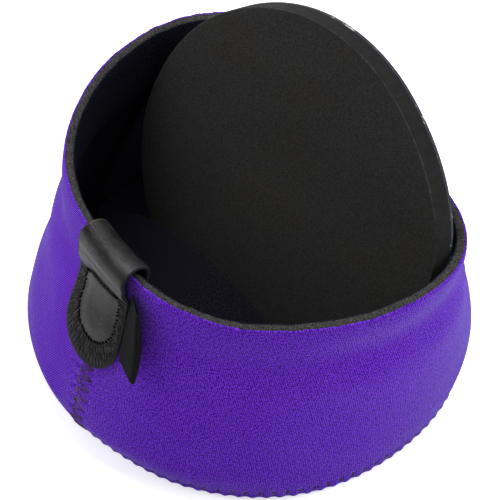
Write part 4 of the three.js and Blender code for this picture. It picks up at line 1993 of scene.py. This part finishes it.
@dataclass
class StandingDisc:
    """The loose disc: a foam pad on a thin plate, which stands in the mouth.

    Attributes:
        shape: The cover's surface.
        diameter: Diameter of both.
        pad_thickness: Thickness of the pad.
        plate_thickness: Thickness of the plate.
        bond_gap: Film of glue between them.
        lean: Degrees that it leans back.
        turn: Degrees that it is turned.
        x: Place of its face's centre along X.
        y: Place of its face's centre along Y.
        rest_gap: Clearance from the lining.
        uneven: Where its hand cut edge stands out or in: degrees from its right, spread, size.
        columns: Columns of points round it.
    """

    shape: CoverShape
    diameter: float = 140.8
    pad_thickness: float = 8.6
    plate_thickness: float = 1.4
    bond_gap: float = 0.3
    lean: float = 20.3
    turn: float = 1.7
    x: float = 4.6
    y: float = 5.9
    rest_gap: float = 0.3
    uneven: tuple[Triple, ...] = ((18, 17, 1.8), (57, 13, -0.55), (98, 22, 0.5), (166, 15, -0.5))
    columns: int = 360

    @property
    def tilt(self) -> Array:
        """Turn of the disc: its lean about X, then its turn about Z.

        Returns:
            The turn as a matrix of three by three.
        """
        lean, turn = math.radians(self.lean), math.radians(self.turn)
        upright = Matrix.Rotation(math.pi / 2 - lean, 3, "X")
        return np.array(Matrix.Rotation(turn, 3, "Z") @ upright)

    @property
    def centre(self) -> Array:
        """Centre of its face: as high as the lower edge of its back needs to stand.

        Returns:
            The centre.
        """
        lean = math.radians(self.lean)
        thickness = self.pad_thickness + self.bond_gap + self.plate_thickness
        drop = self.diameter / 2 * math.cos(lean) + thickness * math.sin(lean)
        return np.array([self.x, self.y, self.shape.cloth + self.rest_gap + drop])

    def rim(self, angle: Array, soft: float, seed: int) -> Array:
        """How far the hand cut edge stands out.

        Args:
            angle: Angles round the disc.
            soft: How uneven it is.
            seed: Seed of its small waves.

        Returns:
            Distance outwards, of small waves and the larger flats and bulges.
        """
        random = np.random.default_rng(seed)
        waves = sum(
            random.uniform(0.2, 1) / turns**0.5 * np.cos(turns * angle + random.uniform(0, 6))
            for turns in (3, 5, 8, 13, 21, 34, 55)
        )
        bulges = sum(
            size * bell((np.degrees(angle) - at + 180) % 360 - 180, spread)
            for at, spread, size in self.uneven
        )
        return soft * 0.35 * waves + bulges

    def slab_between(
        self, low: float, high: float, round_edge: float, soft: float, seed: int
    ) -> Surface:
        """A round slab: a profile with round edges carried round the middle.

        Args:
            low: Height of its back.
            high: Height of its front.
            round_edge: Radius of its edges.
            soft: How far its faces undulate.
            seed: Seed of the undulation.

        Returns:
            The surface, with "edge" on its cut edge, and an attribute for a painted highlight
            line where the edge meets the face.
        """
        hole, face_steps, bend_steps, side_steps = 0.004, 30, 7, 9
        radius = self.diameter / 2
        turn = np.linspace(0, math.pi / 2, bend_steps)
        straight = radius - round_edge
        inner = (straight * np.linspace(hole, 1, face_steps))[:-1]
        belly = np.linspace(low + round_edge, high - round_edge, side_steps)[1:-1]
        bend, rise = straight + round_edge * np.sin(turn), round_edge * (1 - np.cos(turn))
        reach = np.concatenate([inner, bend, 0 * belly + radius, bend[::-1], inner[::-1]])
        height = np.concatenate(
            [0 * inner + low, low + rise, belly, high - rise[::-1], 0 * inner + high]
        )
        angle = (np.arange(self.columns) * TURN / self.columns)[:, None]
        across = reach + self.rim(angle, soft, seed) * (reach / radius) ** 8
        x, y = across * np.cos(angle), across * np.sin(angle)
        sway = soft * (np.sin(x / 17 + 1) * np.cos(y / 23) + 0.5 * np.sin(x / 9 - y / 12))
        edge = smooth(reach + 0 * x, straight, radius - 0.2 * round_edge)
        z = height + sway * (1 - edge) * (height > (low + high) / 2)
        points = np.stack([x, y, z], -1) @ self.tilt.T + self.centre
        # Painted highlight line along the crest, where the round edge meets the face.
        crest_highlight = bell(height - (high - 0.3 * round_edge), 0.3 * round_edge) * edge
        return Surface(
            points.reshape(-1, 3),
            round_quads(self.columns, len(reach)),
            {},
            {"edge": edge.ravel(), "crest_highlight": crest_highlight.ravel()},
        )

    def build(self, finishes: Finishes) -> None:
        """Builds and dresses the pad and the plate, each a little into the glue's gap.

        Args:
            finishes: The finishes.
        """
        back, pad_into_glue, plate_into_glue, sharp = -self.pad_thickness, 0.1, 0.15, 80
        foam = self.slab_between(back - pad_into_glue, 0, round_edge=0.5, soft=0.14, seed=2)
        pad = Piece(Body.DISC, Slot.PAD, ("disc_foam_pad",)).join(
            foam.build("foam_pad", sharp), finishes.pad.make()
        )
        low = back - self.bond_gap - self.plate_thickness
        high = low + self.plate_thickness + plate_into_glue
        sheet = self.slab_between(low, high, round_edge=0.2, soft=0.02, seed=6)
        Piece(Body.DISC, Slot.PLATE, ("disc_plate",)).join(
            sheet.build("stiff_plate", sharp), finishes.plate.make()
        )


@dataclass
class DiscPocket:
    """The pocket: a half round of lining cloth over the closed end, lifted by the disc.

    Attributes:
        disc: The disc that stands in it.
        radius: Where it is sewn in.
        end: Degrees from the level line at which it starts and ends.
        thickness: Thickness of the cloth.
        rest_gap: Clearance from the lining under it.
        lift: How high the disc lifts its free edge.
        peak: Where along X the free edge is highest.
        clearance: Distance of the free edge from the disc's face.
    """

    disc: StandingDisc
    radius: float = 80.4
    end: float = 6.0
    thickness: float = 0.55
    rest_gap: float = 0.2
    lift: float = 29.0
    peak: float = -14.0
    clearance: float = 1.9

    @property
    def floor(self) -> float:
        """Height of its middle where it lies on the lining."""
        return self.disc.shape.cloth + self.rest_gap + self.thickness / 2

    def free_edge(self, x: Array, sewn_y: Array) -> tuple[Array, Array]:
        """The free edge: its height falls with a power of the distance from its peak.

        Its place follows the plane of the disc's face, and leaves it for the wall at both sides.

        Args:
            x: Places along X.
            sewn_y: Y of the sewn edge there.

        Returns:
            Y and height of the edge.
        """
        left = x < self.peak
        reach = np.where(left, self.radius + self.peak, self.radius - self.peak)
        share = np.abs(x - self.peak) / reach
        height = self.floor + self.lift * (1 - share ** np.where(left, 3, 1.7))
        normal, centre = self.disc.tilt[:, 2], self.disc.centre
        before = self.clearance - normal[0] * (x - centre[0]) - normal[2] * (height - centre[2])
        at_side = smooth(np.abs(x), 0.66 * self.radius, self.radius)
        on_plane = centre[1] + before / normal[1]
        return on_plane * (1 - at_side) + sewn_y / 2 * at_side, height

    def cloth(self) -> Surface:
        """The pocket: straight lines from the sewn arc up to the free edge, softly rounded there.

        Each line rises with the power 1.15 of its share, plus a few shallow folds that fan out
        from the sides. The thickness falls off in a round at the cut edge.

        Returns:
            The surface, with its flat pattern as the map "Cloth".
        """
        columns, steps, bow, fold_size, slack = 161, 49, 1.15, 2, 1.04
        angle = np.radians(np.linspace(180 + self.end, 360 - self.end, columns))[:, None]
        share = np.sin(np.linspace(0, math.pi / 2, steps))[None]
        x, sewn = self.radius * np.cos(angle), self.radius * np.sin(angle)
        free_y, free_z = self.free_edge(x, sewn)
        y = sewn + (free_y - sewn) * share
        z = self.floor + (free_z - self.floor) * share**bow
        fold = fold_size * np.sin(x / 13 + 2 * share) * share * (1 - share)
        fold = fold * smooth(free_z, self.floor, self.floor + 15)
        middle = np.stack([x + 0 * share, y, z + fold], -1)
        down = np.gradient(middle, axis=1)
        normal = unit(np.cross(np.gradient(middle, axis=0), down))
        half = self.thickness / 2 * np.sqrt(np.clip((1 - share) * 60, 0.02, 1))[..., None]
        settle = self.disc.shape.settle
        length = np.cumsum(np.linalg.norm(down, axis=-1), axis=1)
        flat = np.broadcast_arrays(length, x * slack)
        return slab(settle(middle + normal * half), settle(middle - normal * half), "Cloth", flat)

    def build(self, finishes: Finishes) -> None:
        """Builds and dresses the pocket.

        Args:
            finishes: The finishes.
        """
        pocket = Piece(Body.COVER, Slot.LINING, ("disc_pocket",)).join(
            self.cloth().build("disc_pocket_cloth"), finishes.lining.make()
        )


# Studio


@dataclass(frozen=True)
class Softbox:
    """A rectangular lamp. Its lengths are in metres and its strength is in watts.

    Attributes:
        name: Its name.
        place: Where it hangs.
        aim: What it points at.
        size: Width and height.
        watts: Its strength.
        mirrored: Whether it shows in glossy surfaces.
        lighting: Whether it lights matt surfaces.
    """

    name: str
    place: Triple
    aim: Triple
    size: tuple[float, float]
    watts: float
    mirrored: bool = True
    lighting: bool = True

    def build(self) -> None:
        """Adds the lamp."""
        light = bpy.data.lights.new(self.name, "AREA")
        light.shape = "RECTANGLE"
        light.size, light.size_y = self.size
        light.energy = self.watts
        lamp = bpy.data.objects.new(self.name, light)
        lamp.visible_glossy, lamp.visible_diffuse = self.mirrored, self.lighting
        lamp.location = self.place
        ahead = Vector(self.aim) - Vector(self.place)
        lamp.rotation_euler = ahead.to_track_quat("-Z", "Y").to_euler()
        bpy.context.scene.collection.objects.link(lamp)


@dataclass(frozen=True)
class Studio:
    """Floor, lamps and camera of the photograph.

    Attributes:
        azimuth: Degrees that the camera is turned from the front.
        elevation: How far it looks down, in radians.
        roll: How far the picture is turned, in radians.
        distance: Distance of its eye point from the target.
        target: Point that it looks at, before its turn.
        focus: Its focal length in pixels of the picture.
        picture: Width of the picture in pixels.
        shift: How far the picture is shifted, in pixels.
        floor_half: Half the width of the floor.
    """

    azimuth: float = 44.0
    elevation: float = 0.884
    roll: float = 0.078
    distance: float = 750.0
    target: Triple = (-1.45, -2.554, 45.0)
    focus: float = 1968.2
    picture: int = 500
    shift: tuple[float, float] = (0.21, 0.42)
    floor_half: float = 3000.0

    def camera(self) -> None:
        """Adds the camera: a fitted eye point and turn, aimed past the target by its roll."""
        sensor = 36
        forward = np.array([0, math.cos(self.elevation), -math.sin(self.elevation)])
        right = np.array([1.0, 0, 0])
        up = np.cross(right, forward)
        image_x = math.cos(self.roll) * right + math.sin(self.roll) * up
        image_y = -math.sin(self.roll) * right + math.cos(self.roll) * up
        place = np.array(self.target) - forward * self.distance
        axes = np.stack([image_x, image_y, -forward, place * MM], 1)
        data = bpy.data.cameras.new("camera")
        data.sensor_width = sensor
        data.lens = self.focus * sensor / self.picture
        data.shift_x, data.shift_y = (part / self.picture for part in self.shift)
        data.clip_start, data.clip_end = 0.05, 20
        camera = bpy.data.objects.new("camera", data)
        matrix = np.eye(4)
        matrix[:3] = np.array(Matrix.Rotation(math.radians(self.azimuth), 3, "Z")) @ axes
        camera.matrix_world = Matrix(matrix.tolist())
        bpy.context.scene.collection.objects.link(camera)
        bpy.context.scene.camera = camera

    def floor(self) -> None:
        """Adds a wide pale floor that is white to the eye and keeps the shadow.

        Far from the cover it is whiter to the camera and darker in the leather's mirror image.
        Near the cover it glows to glossy rays only, a painted reflection that brightens the
        leather.
        """
        points = self.floor_half * np.array([[-1, -1, 0], [1, -1, 0], [1, 1, 0], [-1, 1, 0]])
        floor = Surface(points, np.array([[0, 1, 2, 3]])).build("floor")
        s = Shading("pale floor")
        away = s.node("VectorMath", {0: s.place()}, 1, operation="LENGTH")
        glossy = s.ray("Glossy")
        seen = s.ray("Camera") * away.span(0.4, 1.6, 0.62, 1.0)
        # Painted reflection: near the cover the floor glows to glossy rays only.
        mirrored = glossy * away.span(0.18, 0.32, 0.27, 0.02)
        dimmed = glossy * away.span(0.18, 0.32, 0, 0.8)
        color = s.blend(dimmed, (0.86, 0.86, 0.86, 1.0), (0.1, 0.1, 0.1, 1.0))
        s.set(Base_Color=color, Roughness=0.9, Specular_IOR_Level=0.1)
        glow = s.node("Emission", {"Color": WHITE, "Strength": seen + mirrored})
        lit = s.node("AddShader", {0: Wire(s, s.shader.outputs[0]), 1: glow})
        s.feed(s.output.inputs["Surface"], lit)
        floor.data.materials.append(s.material)

    def world(self) -> None:
        """Sets a soft even surround, white to the eye and nearly dark to the cover."""
        world = bpy.data.worlds.new("surround")
        world.use_nodes = True
        tree = world.node_tree
        background = tree.nodes["Background"]
        path, mix = tree.nodes.new("ShaderNodeLightPath"), tree.nodes.new("ShaderNodeMix")
        mix.data_type = "FLOAT"
        tree.links.new(path.outputs["Is Camera Ray"], mix.inputs[0])
        mix.inputs[2].default_value, mix.inputs[3].default_value = 0.01, 1.0
        tree.links.new(mix.outputs[0], background.inputs["Strength"])
        background.inputs["Color"].default_value = WHITE
        bpy.context.scene.world = world

    def lamps(self) -> None:
        """Adds the softboxes: overhead, one at each side, one by the camera, one for the strap."""
        low, high, strap = (0, 0, 0.05), (0, 0, 0.06), (0, -0.08, 0.09)
        left, right = (-0.85, -0.55, 0.8), (0.8, 0.58, 0.8)
        glint = (-0.68, -0.33, 1.16)
        boxes = (
            Softbox("overhead", (-0.15, 0.35, 1.25), low, (1.0, 0.8), 12),
            Softbox("left side", left, high, (1.5, 1.4), 12, mirrored=False),
            Softbox("right side", right, high, (0.8, 0.9), 9.3),
            Softbox("front", (0.6, -0.95, 0.75), low, (0.9, 0.9), 2.0),
            Softbox("strap glint", glint, strap, (0.45, 0.45), 11, lighting=False),
        )
        for box in boxes:
            box.build()

    def build(self) -> None:
        """Builds the studio and sets the plain view."""
        self.camera()
        self.floor()
        self.world()
        self.lamps()
        bpy.context.scene.view_settings.view_transform = "Standard"


def main() -> None:
    """Builds the studio and the pieces, in order."""
    logging.basicConfig(level=logging.INFO, format="%(message)s")
    Studio().build()
    shape = CoverShape()
    finishes = Finishes()
    base_seam = StitchPlan(shape)
    side_seam = SideSeamPlan(shape)
    SideWall(shape, base_seam, side_seam).build(finishes)
    ClosedEnd(shape, base_seam).build(finishes)
    SeamThreads(shape, base_seam, side_seam).build(finishes)
    PullTab(shape).build(finishes)
    WovenLabel(shape).build(finishes)
    disc = StandingDisc(shape)
    disc.build(finishes)
    DiscPocket(disc).build(finishes)


if __name__ == "__main__":
    main()
